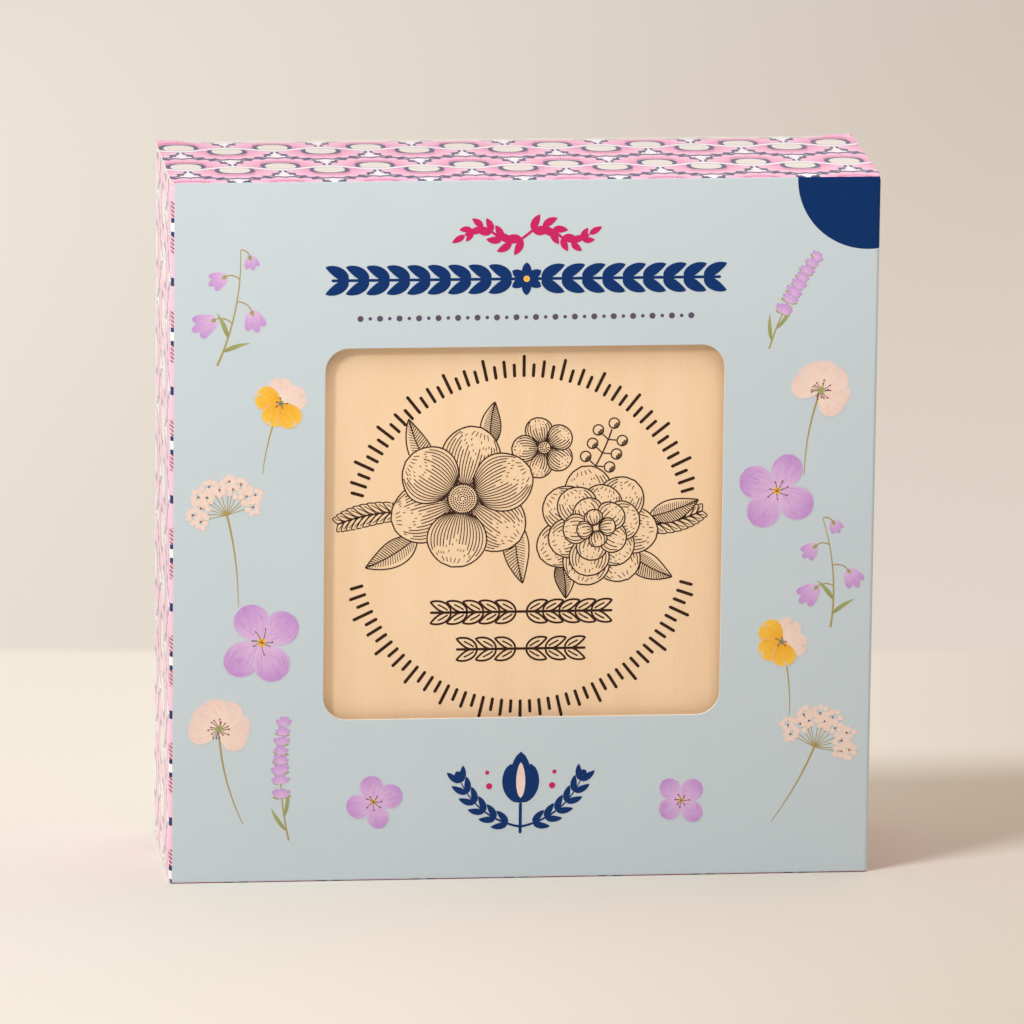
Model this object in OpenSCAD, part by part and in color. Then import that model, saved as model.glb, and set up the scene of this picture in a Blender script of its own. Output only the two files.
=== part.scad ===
// A wooden flower press packed in an upright card carton with a window in its front.
// Millimetres. X runs along the width, the front faces -Y and Z is up.
// The origin is at the middle of the carton's base.
// The press and its stack set the carton's sizes, so the carton always fits what it holds.

/* [Press boards] */
// Side of the two square wooden boards
board_side = 192; // [160:1:260]
// Thickness of each board
board_t = 10; // [7:0.5:16]
// Radius of the boards' four corners
board_corner_r = 5; // [1:0.5:12]

/* [Cards and sheets] */
// Number of corrugated cards in the stack
card_count = 5; // [2:1:7]
// Blotting sheets between one card and the next
sheets_per_layer = 2; // [1:1:3]
// Thickness of one corrugated card
corrugated_t = 1.8; // [1:0.1:4]
// Thickness of one blotting sheet
sheet_t = 0.4; // [0.2:0.05:1]
// Distance from a board's edge to the edge of the stack
stack_inset = 11; // [6:0.5:30]
// Clear distance from a bolt to the cut corner of a card or sheet
corner_clear = 2; // [0.5:0.5:8]
// Gap between one flat piece of the stack and the next
stack_gap = 0.05; // [0.02:0.01:0.5]

/* [Bolts and wing nuts] */
// Radius of the bolt's shank
bolt_r = 3; // [2:0.5:4]
// Advance of the nut in one turn
thread_pitch = 1; // [0.5:0.25:1.5]
// Turns that open the press inside its carton
open_turns = 6; // [2:1:8]
// Distance from a board's edge to the bolt's axis
bolt_inset = 20; // [18:0.5:30]
// Radius of the domed bolt head
head_r = 6.75; // [5:0.25:10]
// Height of the domed bolt head
head_h = 2.5; // [1.5:0.1:5]
// Side of the square neck under the head
neck_side = 6; // [6:0.1:9]
// Length of the square neck
neck_l = 3.5; // [2:0.5:6]
// Clearance round the square neck in its recess
neck_gap = 0.15; // [0.05:0.05:0.5]
// Clearance round the shank in the boards
hole_gap = 0.4; // [0.1:0.05:1]
// Clearance between the thread and the nut
thread_gap = 0.05; // [0.02:0.01:0.1]
// Thread still inside the nut when the press is open
thread_hold = 4.8; // [3:0.1:6]
// Chamfer at the end of the bolt
bolt_chamfer = 0.8; // [0.2:0.1:1.5]
// Radius of the washer
washer_r = 9; // [7:0.5:12]
// Thickness of the washer
washer_t = 1.2; // [0.8:0.1:2.5]
// Gap between the washer and the nut
seat_gap = 0.05; // [0.02:0.01:0.3]
// Radius of the nut's hub at its base
hub_base_r = 6; // [5:0.25:8]
// Radius of the nut's hub at its top
hub_top_r = 4.8; // [4.2:0.1:7]
// Height of the nut's hub
hub_h = 6.5; // [5:0.5:9]
// Height of the straight foot of the hub
hub_foot_h = 2; // [0.5:0.25:4]
// Height of the nut with its wings
nut_h = 11; // [9:0.5:18]
// Distance from the nut's axis to the tip of a wing
wing_r = 13; // [10:0.5:18]
// Thickness of a wing
wing_t = 2.2; // [1:0.1:3.5]
// Radius of the round tip of a wing
wing_tip_r = 3.2; // [1.5:0.1:4.5]

/* [Carton] */
// Thickness of the carton's card
card_t = 0.8; // [0.4:0.05:1.5]
// Gap at each crease and between folded layers
fold_gap = 0.25; // [0.2:0.05:0.6]
// Gap between the press and the side panels
side_room = 3.2; // [1:0.1:10]
// Gap between the press and the flaps over it
head_room = 6.5; // [1:0.5:20]
// Gap between the press and the flaps that it stands on
rest_gap = 0.3; // [0.1:0.05:1]
// Gap between the bolt heads and the front panel
head_gap = 0.5; // [0.2:0.1:5]
// Gap between the opened nuts and the back panel
back_room = 4.25; // [3.5:0.25:20]

/* [Window] */
// Width of the window
window_w = 113; // [60:1:140]
// Height of the window
window_h = 107.5; // [60:0.5:140]
// Radius of the window's corners
window_r = 6.8; // [2:0.2:20]
// Height of the window's centre above the centre of the board
window_rise = 2.6; // [-5:0.2:5]

/* [Closures] */
// Width of the raw ear left at each rear corner of the lid
ear_w = 8; // [3:0.5:10]
// Gap between the lid's rear fold and the back panel
slot_gap = 0.3; // [0.2:0.05:1]
// Length of the flap that tucks behind the back panel
tuck_l = 13; // [8:0.5:14]
// Inward lean of the tuck flap, in degrees
tuck_lean = 11; // [10:0.5:14]
// Radius of the tuck flap's free corners
tuck_r = 8; // [2:0.5:10]
// Length of each dust flap
dust_l = 40; // [20:1:60]
// Distance from the lid's crease to the dust flap
dust_front_gap = 4; // [3:0.5:10]
// Distance from the tuck flap to the dust flap
dust_rear_gap = 1.6; // [1:0.1:5]
// Chamfer at the dust flap's rear corner
dust_chamfer = 8; // [2:0.5:12]
// Width of the glue flap
glue_w = 15; // [8:0.5:20]
// Distance from the carton's ends to the glue flap
glue_end = 20; // [18:0.5:40]

/* [Hidden] */
$fn = 96;
// Facets on the wings, whose outlines are hulls
wing_fn = 32;
// Extra depth of every cut, so that it passes right through
cut_over = 1;
// Slope of the dust flap's front edge, steep enough for the lid to clear it as both open
dust_taper_share = 0.42;
// Height of the wing's root above the nut's base, as a share of the hub's height
wing_root_share = 0.35;
// How far each wing nut stands from level, in degrees
nut_angles = [18, -24, 35, -8];

// The stack: a card, then blotting sheets, then a card again, and a card at each end
layer_period = 1 + sheets_per_layer;
sheet_count = (card_count - 1) * sheets_per_layer;
piece_count = card_count + sheet_count;
stack_t = card_count * corrugated_t + sheet_count * sheet_t + (piece_count + 1) * stack_gap;
stack_side = board_side - 2 * stack_inset;

// Depth of the press and of the carton round it
open_travel = open_turns * thread_pitch;
box_w = board_side + 2 * (side_room + card_t);
box_d = card_t + head_gap + head_h + board_t + stack_t + board_t + washer_t + seat_gap
    + nut_h + open_travel + back_room + card_t;
box_h = 2 * card_t + fold_gap + rest_gap + board_side + head_room + 2 * card_t + fold_gap;

// Places along Y, from the front
front_y = -box_d / 2;
back_y = box_d / 2;
front_board_y = front_y + card_t + head_gap + head_h;
stack_y = front_board_y + board_t;
rear_board_y = stack_y + stack_t;
washer_y = rear_board_y + board_t;
nut_y = washer_y + washer_t + seat_gap;
bolt_l = nut_y + open_travel + thread_hold - front_board_y;

// Places along Z
press_z = 2 * card_t + fold_gap + rest_gap;
board_z = press_z + board_side / 2;
window_z = board_z + window_rise;

// Bolt positions, as signs from the board's centre, from top left to bottom right
bolt_signs = [[-1, 1], [1, 1], [-1, -1], [1, -1]];
bolt_offset = board_side / 2 - bolt_inset;
dome_r = (head_r * head_r + head_h * head_h) / (2 * head_h);
// A card's cut corner passes the bolt at the named clear distance
stack_corner = max(bolt_r, stack_side - 2 * bolt_offset + sqrt(2) * (bolt_r + corner_clear));

// Creases and flaps of the closure at the top; the one at the base is its mirror image
side_x = box_w / 2 - card_t;
lid_axis_y = front_y + card_t;
lid_y = lid_axis_y + fold_gap;
tuck_y = back_y - card_t - slot_gap;
tuck_z = box_h - card_t;
ear_x = box_w / 2 - ear_w;
dust_top_z = box_h - card_t - fold_gap;
dust_front_y = lid_axis_y + dust_front_gap;
dust_rear_y = tuck_y - card_t - dust_rear_gap;
dust_tip_y = dust_front_y + dust_taper_share * dust_l;

// A piece of the stack: its kind, its number among its kind, and its front face
function is_card(i) = i % layer_period == 0;
function cards_before(i) = ceil(i / layer_period);
function sheets_before(i) = i - cards_before(i);
function piece_y(i) = stack_y + (i + 1) * stack_gap + cards_before(i) * corrugated_t
    + sheets_before(i) * sheet_t;
function piece_name(i) = is_card(i) ? str("corrugated_card_", cards_before(i) + 1)
    : str("blotting_sheet_", sheets_before(i) + 1);

// Shapes that repeat

// A box between two opposite corners
module slab(low, high) {
    translate(low) cube(high - low);
}

// A rectangle with four round corners, centred on the origin
module rounded_rect(w, h, r) {
    square([w - 2 * r, h], center = true);
    square([w, h - 2 * r], center = true);
    for (sx = [-1, 1], sy = [-1, 1])
        translate([sx * (w / 2 - r), sy * (h / 2 - r)]) circle(r = r);
}

// Stands a flat outline upright, with its front face at y, its centre at z and depth t
module stand_up(y, z, t) {
    translate([0, y, z]) rotate([-90, 0, 0]) linear_extrude(t) children();
}

// Puts a shape drawn along +Z on the axis of bolt n, pointing backwards from y
module on_bolt(n, y) {
    s = bolt_signs[n - 1];
    translate([s.x * bolt_offset, y, board_z + s.y * bolt_offset]) rotate([-90, 0, 0]) children();
}

// Turns a shape of the top closure into the same shape of the base closure
module at_base() {
    translate([0, 0, box_h]) mirror([0, 0, 1]) children();
}

// The carton

module front_panel() {
    color([0.86, 0.89, 0.92]) difference() {
        slab([-box_w / 2, front_y, 0], [box_w / 2, front_y + card_t, box_h]);
        stand_up(front_y - cut_over, window_z, card_t + 2 * cut_over)
            rounded_rect(window_w, window_h, window_r);
    }
}

// The notches at the upper and lower corners hold the ears of the two closures
module back_panel() {
    notch_x = ear_x - fold_gap;
    notch_h = card_t + fold_gap;
    color([0.86, 0.89, 0.92]) difference() {
        slab([-box_w / 2, back_y - card_t, 0], [box_w / 2, back_y, box_h]);
        for (side = [-1, 1], z = [0, box_h])
            translate([side * (notch_x + box_w) / 2, back_y, z])
                cube([box_w - notch_x, 2 * (card_t + cut_over), 2 * notch_h], center = true);
    }
}

module side_panel(side) {
    x = side * (box_w / 2 - card_t / 2);
    color([0.93, 0.72, 0.80]) translate([x - card_t / 2, front_y + card_t, card_t + fold_gap])
        cube([card_t, box_d - 2 * card_t, box_h - 2 * (card_t + fold_gap)]);
}

// The strip that closes the tube, glued inside the back panel along the left side
module glue_flap() {
    half = box_h / 2 - glue_end;
    color([0.93, 0.92, 0.90]) stand_up(back_y - 2 * card_t, box_h / 2, card_t)
        polygon([
            [-side_x, -half], [-side_x + glue_w, -half + glue_w],
            [-side_x + glue_w, half - glue_w], [-side_x, half]
        ]);
}

// The closing panel, with a raw ear at each rear corner
module closure_panel() {
    color([0.93, 0.72, 0.80]) translate([0, 0, box_h - card_t]) linear_extrude(card_t)
        polygon([
            [-box_w / 2, lid_y], [box_w / 2, lid_y], [box_w / 2, back_y], [ear_x, back_y],
            [ear_x, tuck_y], [-ear_x, tuck_y], [-ear_x, back_y], [-box_w / 2, back_y]
        ]);
}

// The flap that hangs from the closing panel's rear edge and leans inwards
module closure_tuck() {
    w = 2 * (ear_x - fold_gap);
    color([0.93, 0.72, 0.80]) translate([0, tuck_y, tuck_z]) rotate([-tuck_lean, 0, 0])
        intersection() {
            stand_up(-card_t, 0, card_t) rounded_rect(w, 2 * tuck_l, tuck_r);
            slab([-w / 2, -card_t - cut_over, -tuck_l - cut_over], [w / 2, cut_over, -fold_gap]);
        }
}

// A flap that folds in under the closing panel, from the left side or mirrored to the right
module closure_dust(side) {
    color([0.95, 0.94, 0.92]) mirror([side > 0 ? 1 : 0, 0, 0])
        translate([-side_x, 0, dust_top_z - card_t]) linear_extrude(card_t)
            polygon([
                [fold_gap, dust_front_y], [dust_l, dust_tip_y],
                [dust_l, dust_rear_y - dust_chamfer], [dust_l - dust_chamfer, dust_rear_y],
                [fold_gap, dust_rear_y]
            ]);
}

// The press

module plain_board(y) {
    difference() {
        stand_up(y, board_z, board_t) rounded_rect(board_side, board_side, board_corner_r);
        for (n = [1:4])
            on_bolt(n, y - cut_over) cylinder(r = bolt_r + hole_gap, h = board_t + 2 * cut_over);
    }
}

// The board behind the window, with a square recess for the neck of each bolt
module front_board() {
    recess = neck_side + 2 * neck_gap;
    color([0.92, 0.78, 0.60]) difference() {
        plain_board(front_board_y);
        for (n = [1:4])
            on_bolt(n, front_board_y - cut_over) linear_extrude(neck_l + neck_gap + cut_over)
                square(recess, center = true);
    }
}

module rear_board() {
    color([0.90, 0.76, 0.58]) plain_board(rear_board_y);
}

// A domed head, a square neck that stops the bolt turning, and a chamfered shank
module carriage_bolt(n) {
    color([0.72, 0.73, 0.75]) on_bolt(n, front_board_y) {
        intersection() {
            translate([0, 0, dome_r - head_h]) sphere(r = dome_r);
            translate([0, 0, -head_h]) cylinder(r = head_r, h = head_h);
        }
        linear_extrude(neck_l) square(neck_side, center = true);
        cylinder(r = bolt_r, h = bolt_l - bolt_chamfer);
        translate([0, 0, bolt_l - bolt_chamfer])
            cylinder(r1 = bolt_r, r2 = bolt_r - bolt_chamfer, h = bolt_chamfer);
    }
}

module washer(n) {
    color([0.75, 0.76, 0.78]) on_bolt(n, washer_y) difference() {
        cylinder(r = washer_r, h = washer_t);
        translate([0, 0, -cut_over]) cylinder(r = bolt_r + hole_gap, h = washer_t + 2 * cut_over);
    }
}

// The outline of one wing, from the hub's middle out to its round tip
module wing_outline() {
    hull() {
        translate([wing_r - wing_tip_r, nut_h - wing_tip_r]) circle(r = wing_tip_r, $fn = wing_fn);
        translate([bolt_r, hub_h * wing_root_share]) square([hub_top_r - bolt_r, hub_h * (1 - wing_root_share)]);
    }
}

module wing_nut(n) {
    color([0.78, 0.78, 0.80]) on_bolt(n, nut_y) rotate([0, 0, nut_angles[n - 1]]) difference() {
        union() {
            cylinder(r = hub_base_r, h = hub_foot_h);
            translate([0, 0, hub_foot_h])
                cylinder(r1 = hub_base_r, r2 = hub_top_r, h = hub_h - hub_foot_h);
            for (turn = [0, 180])
                rotate([90, 0, turn]) linear_extrude(wing_t, center = true) wing_outline();
        }
        translate([0, 0, -cut_over]) cylinder(r = bolt_r + thread_gap, h = nut_h + 2 * cut_over);
    }
}

// One card or sheet of the stack, with its corners cut off to clear the bolts
module stack_piece(i) {
    half = stack_side / 2;
    cut = half - stack_corner;
    t = is_card(i) ? corrugated_t : sheet_t;
    color(is_card(i) ? [0.76, 0.62, 0.45] : [0.96, 0.95, 0.91]) stand_up(piece_y(i), board_z, t)
        polygon([
            [-cut, -half], [cut, -half], [half, -cut], [half, cut],
            [cut, half], [-cut, half], [-half, cut], [-half, -cut]
        ]);
}

front_panel();
back_panel();
side_panel(-1);  // left_panel
side_panel(1);  // right_panel
glue_flap();
closure_panel();  // lid_panel
closure_tuck();  // lid_tuck_flap
closure_dust(-1);  // lid_dust_flap_left
closure_dust(1);  // lid_dust_flap_right
at_base() closure_panel();  // base_panel
at_base() closure_tuck();  // base_tuck_flap
at_base() closure_dust(-1);  // base_dust_flap_left
at_base() closure_dust(1);  // base_dust_flap_right
front_board();
rear_board();
for (n = [1:4]) {
    carriage_bolt(n);
    washer(n);
    wing_nut(n);
}
for (i = [0:piece_count - 1])
    stack_piece(i);
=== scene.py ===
# %% [markdown]
# # A flower press in its card carton
# The object is an upright carton of printed card. Through a window in its front shows a square wooden
# board with an engraving, the front board of a press that stands inside. The lid and the base are tucked
# flaps that open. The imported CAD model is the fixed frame: it gives every place, size and joint. This
# lesson gives it its looks. A piece could be moved and scaled by eye until it fits, but the frame is in
# metres and in place already, so every piece below is made where the CAD says. Lengths in this script are
# in millimetres, and MM turns them into metres.
# %% Load the frame
import bmesh
import bpy
import math
import random
from mathutils import Matrix, Vector


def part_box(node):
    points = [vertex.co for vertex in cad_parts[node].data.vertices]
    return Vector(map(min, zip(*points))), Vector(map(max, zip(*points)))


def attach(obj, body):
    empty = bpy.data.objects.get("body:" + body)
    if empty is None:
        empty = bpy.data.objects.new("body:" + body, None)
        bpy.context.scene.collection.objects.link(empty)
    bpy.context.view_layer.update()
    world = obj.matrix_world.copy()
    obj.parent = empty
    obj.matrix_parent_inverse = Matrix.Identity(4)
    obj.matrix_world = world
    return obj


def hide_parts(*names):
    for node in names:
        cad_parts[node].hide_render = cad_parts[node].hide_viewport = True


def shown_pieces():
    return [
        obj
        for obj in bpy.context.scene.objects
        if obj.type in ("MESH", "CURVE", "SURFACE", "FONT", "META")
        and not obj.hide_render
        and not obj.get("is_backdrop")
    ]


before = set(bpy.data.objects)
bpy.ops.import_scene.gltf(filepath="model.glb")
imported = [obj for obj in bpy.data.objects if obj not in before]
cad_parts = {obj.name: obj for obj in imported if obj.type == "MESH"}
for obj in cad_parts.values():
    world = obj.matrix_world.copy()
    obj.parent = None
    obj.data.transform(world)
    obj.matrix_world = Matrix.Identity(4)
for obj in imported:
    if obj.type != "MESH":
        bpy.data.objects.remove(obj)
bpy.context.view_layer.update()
MM = 0.001


def front_of(node):
    """Where a node of the frame starts along Y, in millimetres."""
    return round(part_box(node)[0].y / MM, 3)


# %% [markdown]
# The photograph was taken with a long lens, a little from the left and from above, so that the lid shows
# as a thin band. The camera could be aimed by hand. Here its direction, distance and lens were worked out
# from the corners of the carton in the photograph, and the matrix is built from them. The photograph's
# upright lines were straightened afterwards, which a plain camera can't do, so the corners land within a
# few pixels of their places.
# %% The camera
turn, rise, tilt = math.radians(-6.343), math.radians(13.0), math.radians(0.665)
AIM, DISTANCE, LENS, SENSOR = Vector((-0.04, 0, 99.87)) * MM, 2.8, 344.97, 36
back = Vector((math.sin(turn) * math.cos(rise), -math.cos(turn) * math.cos(rise), math.sin(rise)))
level = Vector((math.cos(turn), math.sin(turn), 0))
above = back.cross(level)
right = level * math.cos(tilt) + above * math.sin(tilt)
up = above * math.cos(tilt) - level * math.sin(tilt)
bpy.ops.object.camera_add()
camera = bpy.context.object
camera.name = "camera"
aimed = Matrix((right, up, back)).transposed().to_4x4()
camera.matrix_world = Matrix.Translation(AIM + back * DISTANCE) @ aimed
camera.data.lens, camera.data.sensor_width = LENS, SENSOR
camera.data.clip_start, camera.data.clip_end = 0.05, 20
bpy.context.scene.camera = camera
print("camera at", [round(c, 3) for c in camera.matrix_world.translation])

# %% [markdown]
# Most pieces are shaped the same way: take one piece, choose some of its corners, edges or faces by their
# place, and run an operator on them. An operator acts on whatever is selected, and the frame's nodes come
# in selected, so each step starts by deselecting everything.
# %% Helpers for taking and choosing
def take(piece):
    """Makes this piece the only one selected, and the active one."""
    if bpy.context.object and bpy.context.object.mode != "OBJECT":
        bpy.ops.object.mode_set(mode="OBJECT")
    bpy.ops.object.select_all(action="DESELECT")
    piece.select_set(True)
    bpy.context.view_layer.objects.active = piece
    return piece


def middle(thing):
    """The middle of a corner, an edge or a face, in millimetres."""
    points = [v.co for v in getattr(thing, "verts", [thing])]
    return sum(points, Vector()) / len(points) / MM


def choose(piece, kind, test):
    """Opens edit mode with only those corners, edges or faces selected that pass the test."""
    take(piece)
    bpy.ops.object.mode_set(mode="EDIT")
    bpy.ops.mesh.select_mode(type=kind)
    bpy.ops.mesh.select_all(action="DESELECT")
    shape = bmesh.from_edit_mesh(piece.data)
    things = {"VERT": shape.verts, "EDGE": shape.edges, "FACE": shape.faces}[kind]
    for thing in [t for t in things if test(t)]:
        thing.select_set(True)
    bmesh.update_edit_mesh(piece.data)


def settle(piece):
    """Puts a piece's place, turn and size into its mesh, so that its object sits at the origin."""
    take(piece)
    bpy.ops.object.transform_apply(location=True, rotation=True, scale=True)
    return piece


def named(name):
    """Names the piece that an operator has just added, and settles it."""
    piece = bpy.context.object
    piece.name = piece.data.name = name
    return settle(piece)

# %% Helpers for starting and cutting pieces
def start_box(name, low, high):
    """A box between two corners in millimetres, the start of the boards and of the carton."""
    bpy.ops.object.select_all(action="DESELECT")
    bpy.ops.mesh.primitive_cube_add(
        size=1, location=[(a + b) / 2 * MM for a, b in zip(low, high)],
        scale=[(b - a) * MM for a, b in zip(low, high)])
    return named(name)


def start_sheet(name, low, high, z):
    """A flat sheet facing up between two corners in millimetres, the start of a flap."""
    bpy.ops.object.select_all(action="DESELECT")
    bpy.ops.mesh.primitive_plane_add(
        size=1, location=[(low[0] + high[0]) / 2 * MM, (low[1] + high[1]) / 2 * MM, z * MM])
    bpy.context.object.scale = ((high[0] - low[0]) * MM, (high[1] - low[1]) * MM, 1)
    return named(name)


def cut(piece, **places):
    """Cuts a piece right through at places in millimetres along X, Y or Z."""
    for axis, values in places.items():
        way = [float(axis == a) for a in "xyz"]
        for value in values:
            choose(piece, "FACE", lambda f: True)
            bpy.ops.mesh.bisect(plane_co=[w * value * MM for w in way], plane_no=way)
    take(piece)


def modify(piece, kind, **settings):
    """Adds a modifier with its settings and applies it."""
    modifier = piece.modifiers.new(kind.title(), kind)
    for key, value in settings.items():
        setattr(modifier, key, value)
    take(piece)
    bpy.ops.object.modifier_apply(modifier=modifier.name)


def smooth(piece, angle):
    """Shades a piece smooth, apart from its sharp edges, with the large faces kept flat."""
    take(piece)
    bpy.ops.object.shade_smooth_by_angle(angle=math.radians(angle))
    modify(piece, "WEIGHTED_NORMAL", keep_sharp=True, weight=90)
    print(piece.name, len(piece.data.polygons), "faces")
    return piece

# %% Helpers for points, copies and joins
def from_points(name, points, edges, faces=()):
    """A new piece from points in millimetres, joined up by edges or by faces."""
    mesh = bpy.data.meshes.new(name)
    mesh.from_pydata([[c * MM for c in point] for point in points], edges, faces)
    piece = bpy.data.objects.new(name, mesh)
    bpy.context.scene.collection.objects.link(piece)
    return piece


def chain(points):
    """The edges that join points one after another."""
    return [(i, i + 1) for i in range(len(points) - 1)]


def twin(piece, name):
    """A copy with its own mesh."""
    copy = piece.copy()
    copy.data = piece.data.copy()
    copy.name = copy.data.name = name
    bpy.context.scene.collection.objects.link(copy)
    return copy


def join(pieces):
    """Joins pieces into the first of them."""
    for piece in pieces:
        piece.select_set(True)
    bpy.context.view_layer.objects.active = pieces[0]
    bpy.ops.object.join()
    return pieces[0]

# %% [markdown]
# A material is a small program, and wiring it node by node hides the sum that it does. Here one class
# wraps a socket and gives it Python's operators, so a sum is written as a sum. A second class adds any
# other node with one method, and a third is a whole material. Colours are written as they look on a
# screen, from 0 to 255.
# %% Shader arithmetic
def operator(kind, swapped=False):
    """A method that adds a Math node of one kind, with its two terms swapped for a reflected operator."""
    def method(wire, *others):
        terms = (*others, wire) if swapped else (wire, *others)
        return wire.maths(kind, *terms)
    return method


class Wire:
    """One value running through a node tree. Arithmetic on it adds the Math nodes that work it out."""

    def __init__(self, tree, socket):
        self.tree, self.socket = tree, socket

    def maths(self, operation, *terms):
        return self.tree.node("ShaderNodeMath", {"operation": operation}, dict(enumerate(terms)))

    __add__, __radd__ = operator("ADD"), operator("ADD", True)
    __sub__, __rsub__ = operator("SUBTRACT"), operator("SUBTRACT", True)
    __mul__, __rmul__ = operator("MULTIPLY"), operator("MULTIPLY", True)
    __truediv__, __rtruediv__ = operator("DIVIDE"), operator("DIVIDE", True)
    __pow__, __mod__, __abs__ = operator("POWER"), operator("FLOORED_MODULO"), operator("ABSOLUTE")
    __lt__, __gt__ = operator("LESS_THAN"), operator("GREATER_THAN")
    least, most, zigzag = operator("MINIMUM"), operator("MAXIMUM"), operator("PINGPONG")
    sine, cosine, arctan2 = operator("SINE"), operator("COSINE"), operator("ARCTAN2")
    rounded = operator("ROUND")


class Tree:
    """A node tree. Steady values are set on its sockets, and varying ones are wired to them."""

    def __init__(self, tree):
        self.tree = tree

    def feed(self, socket, value):
        if isinstance(value, Wire):
            self.tree.links.new(value.socket, socket)
        else:
            socket.default_value = value

    def node(self, kind, settings=None, values=None, take=0):
        """Adds a node of any kind, and gives back one output, or several if take lists them."""
        made = self.tree.nodes.new(kind)
        for key, value in (settings or {}).items():
            setattr(made, key, value)
        for socket, value in (values or {}).items():
            self.feed(made.inputs[socket], value)
        if isinstance(take, tuple):
            return [Wire(self, made.outputs[t]) for t in take]
        return Wire(self, made.outputs[take])

# %% Colours
def paint(*screen):
    """A colour as a screen shows it, from 0 to 255, turned into light values."""
    light = [c / 255 / 12.92 if c < 10.3 else ((c / 255 + 0.055) / 1.055) ** 2.4 for c in screen]
    return (*light, 1)

# %% A class that builds a finish
class Finish(Tree):
    """A material with one shader."""

    def __init__(self, name, **steady):
        self.material = bpy.data.materials.new(name)
        self.material.use_nodes = True
        super().__init__(self.material.node_tree)
        self.shader = self.tree.nodes["Principled BSDF"]
        for socket, value in steady.items():
            self.set(socket.replace("_", " "), value)

    def set(self, socket, value):
        """Sets one of the shader's own values."""
        self.feed(self.shader.inputs[socket], value)

    def place(self):
        """The place in millimetres in the object's own frame."""
        where = self.node("ShaderNodeTexCoord", take="Object")
        return self.node("ShaderNodeVectorMath", {"operation": "SCALE"}, {0: where, 3: 1 / MM})

    def parts(self, vector):
        """The X, Y and Z of a place or a direction."""
        return self.node("ShaderNodeSeparateXYZ", None, {0: vector}, (0, 1, 2))

    def speckle(self, where, size, detail, rough=0.5):
        """Soft noise from 0 to 1 with spots of about this size in millimetres."""
        return self.node("ShaderNodeTexNoise", None, {
            "Vector": where, "Scale": 1 / size, "Detail": detail, "Roughness": rough}, "Fac")

    def stretch(self, where, x, y, z):
        """A place stretched along the axes, for grain and fibres."""
        return self.node("ShaderNodeVectorMath", {"operation": "MULTIPLY"}, {0: where, 1: (x, y, z)})

    def step(self, value, at, soft):
        """0 below a value and 1 above it, with a soft change between."""
        return self.node("ShaderNodeMapRange", {"interpolation_type": "SMOOTHSTEP"},
                         {0: value, 1: at - soft, 2: at + soft})

    def mix(self, share, first, second):
        """The first colour where share is 0 and the second where it is 1."""
        return self.node("ShaderNodeMix", {"data_type": "RGBA"}, {0: share, 6: first, 7: second}, 2)

    def colour(self, value):
        self.set("Base Color", value)

    def rough(self, value):
        self.set("Roughness", value)

    def bump(self, height, depth):
        """Lets a height from 0 to 1 tilt the surface as relief of this depth in millimetres would."""
        relief = {"Strength": 1, "Distance": depth * MM, "Height": height}
        self.set("Normal", self.node("ShaderNodeBump", None, relief))

# %% [markdown]
# The carton is folding boxboard about 0.8 mm thick. Its outside is printed and carries a thin satin
# varnish. The front and back are pale grey-blue. A flat colour would look like plastic, so the print has
# faint mottling, the varnish has uneven gloss, and a very shallow bump gives the surface the slight
# unevenness of pressed board.
# %% Blue printed card
def card_surface(finish, where):
    """The mottling, gloss and relief that all the printed card shares."""
    pulp = finish.speckle(where, 0.9, 3, 0.6)
    cloud = finish.speckle(where, 22, 2, 0.5)
    finish.rough(0.40 + 0.10 * pulp + 0.06 * cloud)
    finish.bump(0.6 * pulp + 4.0 * cloud, 0.010)
    return pulp, cloud


VARNISH = {"Specular_IOR_Level": 0.10, "Coat_Weight": 0.12, "Coat_Roughness": 0.28, "Coat_IOR": 1.45}
DISC_X, DISC_Z, DISC_RADIUS = 96.8, 201.9, 20.4


def printed_blue():
    """The front's and the back's blue, with the dark disc in the front's upper corner."""
    finish = Finish("printed_blue_card", **VARNISH)
    where = finish.place()
    x, y, z = finish.parts(where)
    pulp, cloud = card_surface(finish, where)
    tone = finish.mix(cloud, paint(198, 211, 217), paint(203, 215, 220))
    tone = finish.mix(pulp * 0.35, tone, paint(209, 219, 224))
    disc = 1 - finish.step(((x - DISC_X) ** 2 + (z - DISC_Z) ** 2) ** 0.5, DISC_RADIUS, 0.06)
    finish.colour(finish.mix(disc * (y < 0), tone, paint(0, 46, 102)))
    return finish.material


blue_card = printed_blue()
print("made", blue_card.name)

# %% [markdown]
# The lid, the sides and the tuck flaps carry a pink pattern of fans, in rows that point up and down by
# turns. The pattern could be an image, but then it would blur up close. It is worked out from the place
# on the card instead: each fan is a ring of distances round its foot, and each colour takes a range of
# those distances. The fans here are a common scallop pattern drawn afresh for this part.
# %% The fan pattern's geometry
FAN_WIDE, FAN_PAIR = 26.0, 25.5
FAN_HALF, FAN_TALL, FAN_POWER = 13.1, 17.2, 1.6
FOOT_WAVE, PETALS = 2.2, 8


def fan(across, upward):
    """The distance from a fan's foot, 1 at its rim, then the petal's number, then a smooth distance."""
    side, rise = across / FAN_HALF, upward / FAN_TALL
    petal = side.arctan2(rise) * (PETALS / math.pi)
    lobe = petal.zigzag(0.5) * 2
    reach = (side ** FAN_POWER + rise ** FAN_POWER) ** (1 / FAN_POWER)
    return reach / (0.925 + 0.085 * lobe ** 0.6), petal, reach


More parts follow.
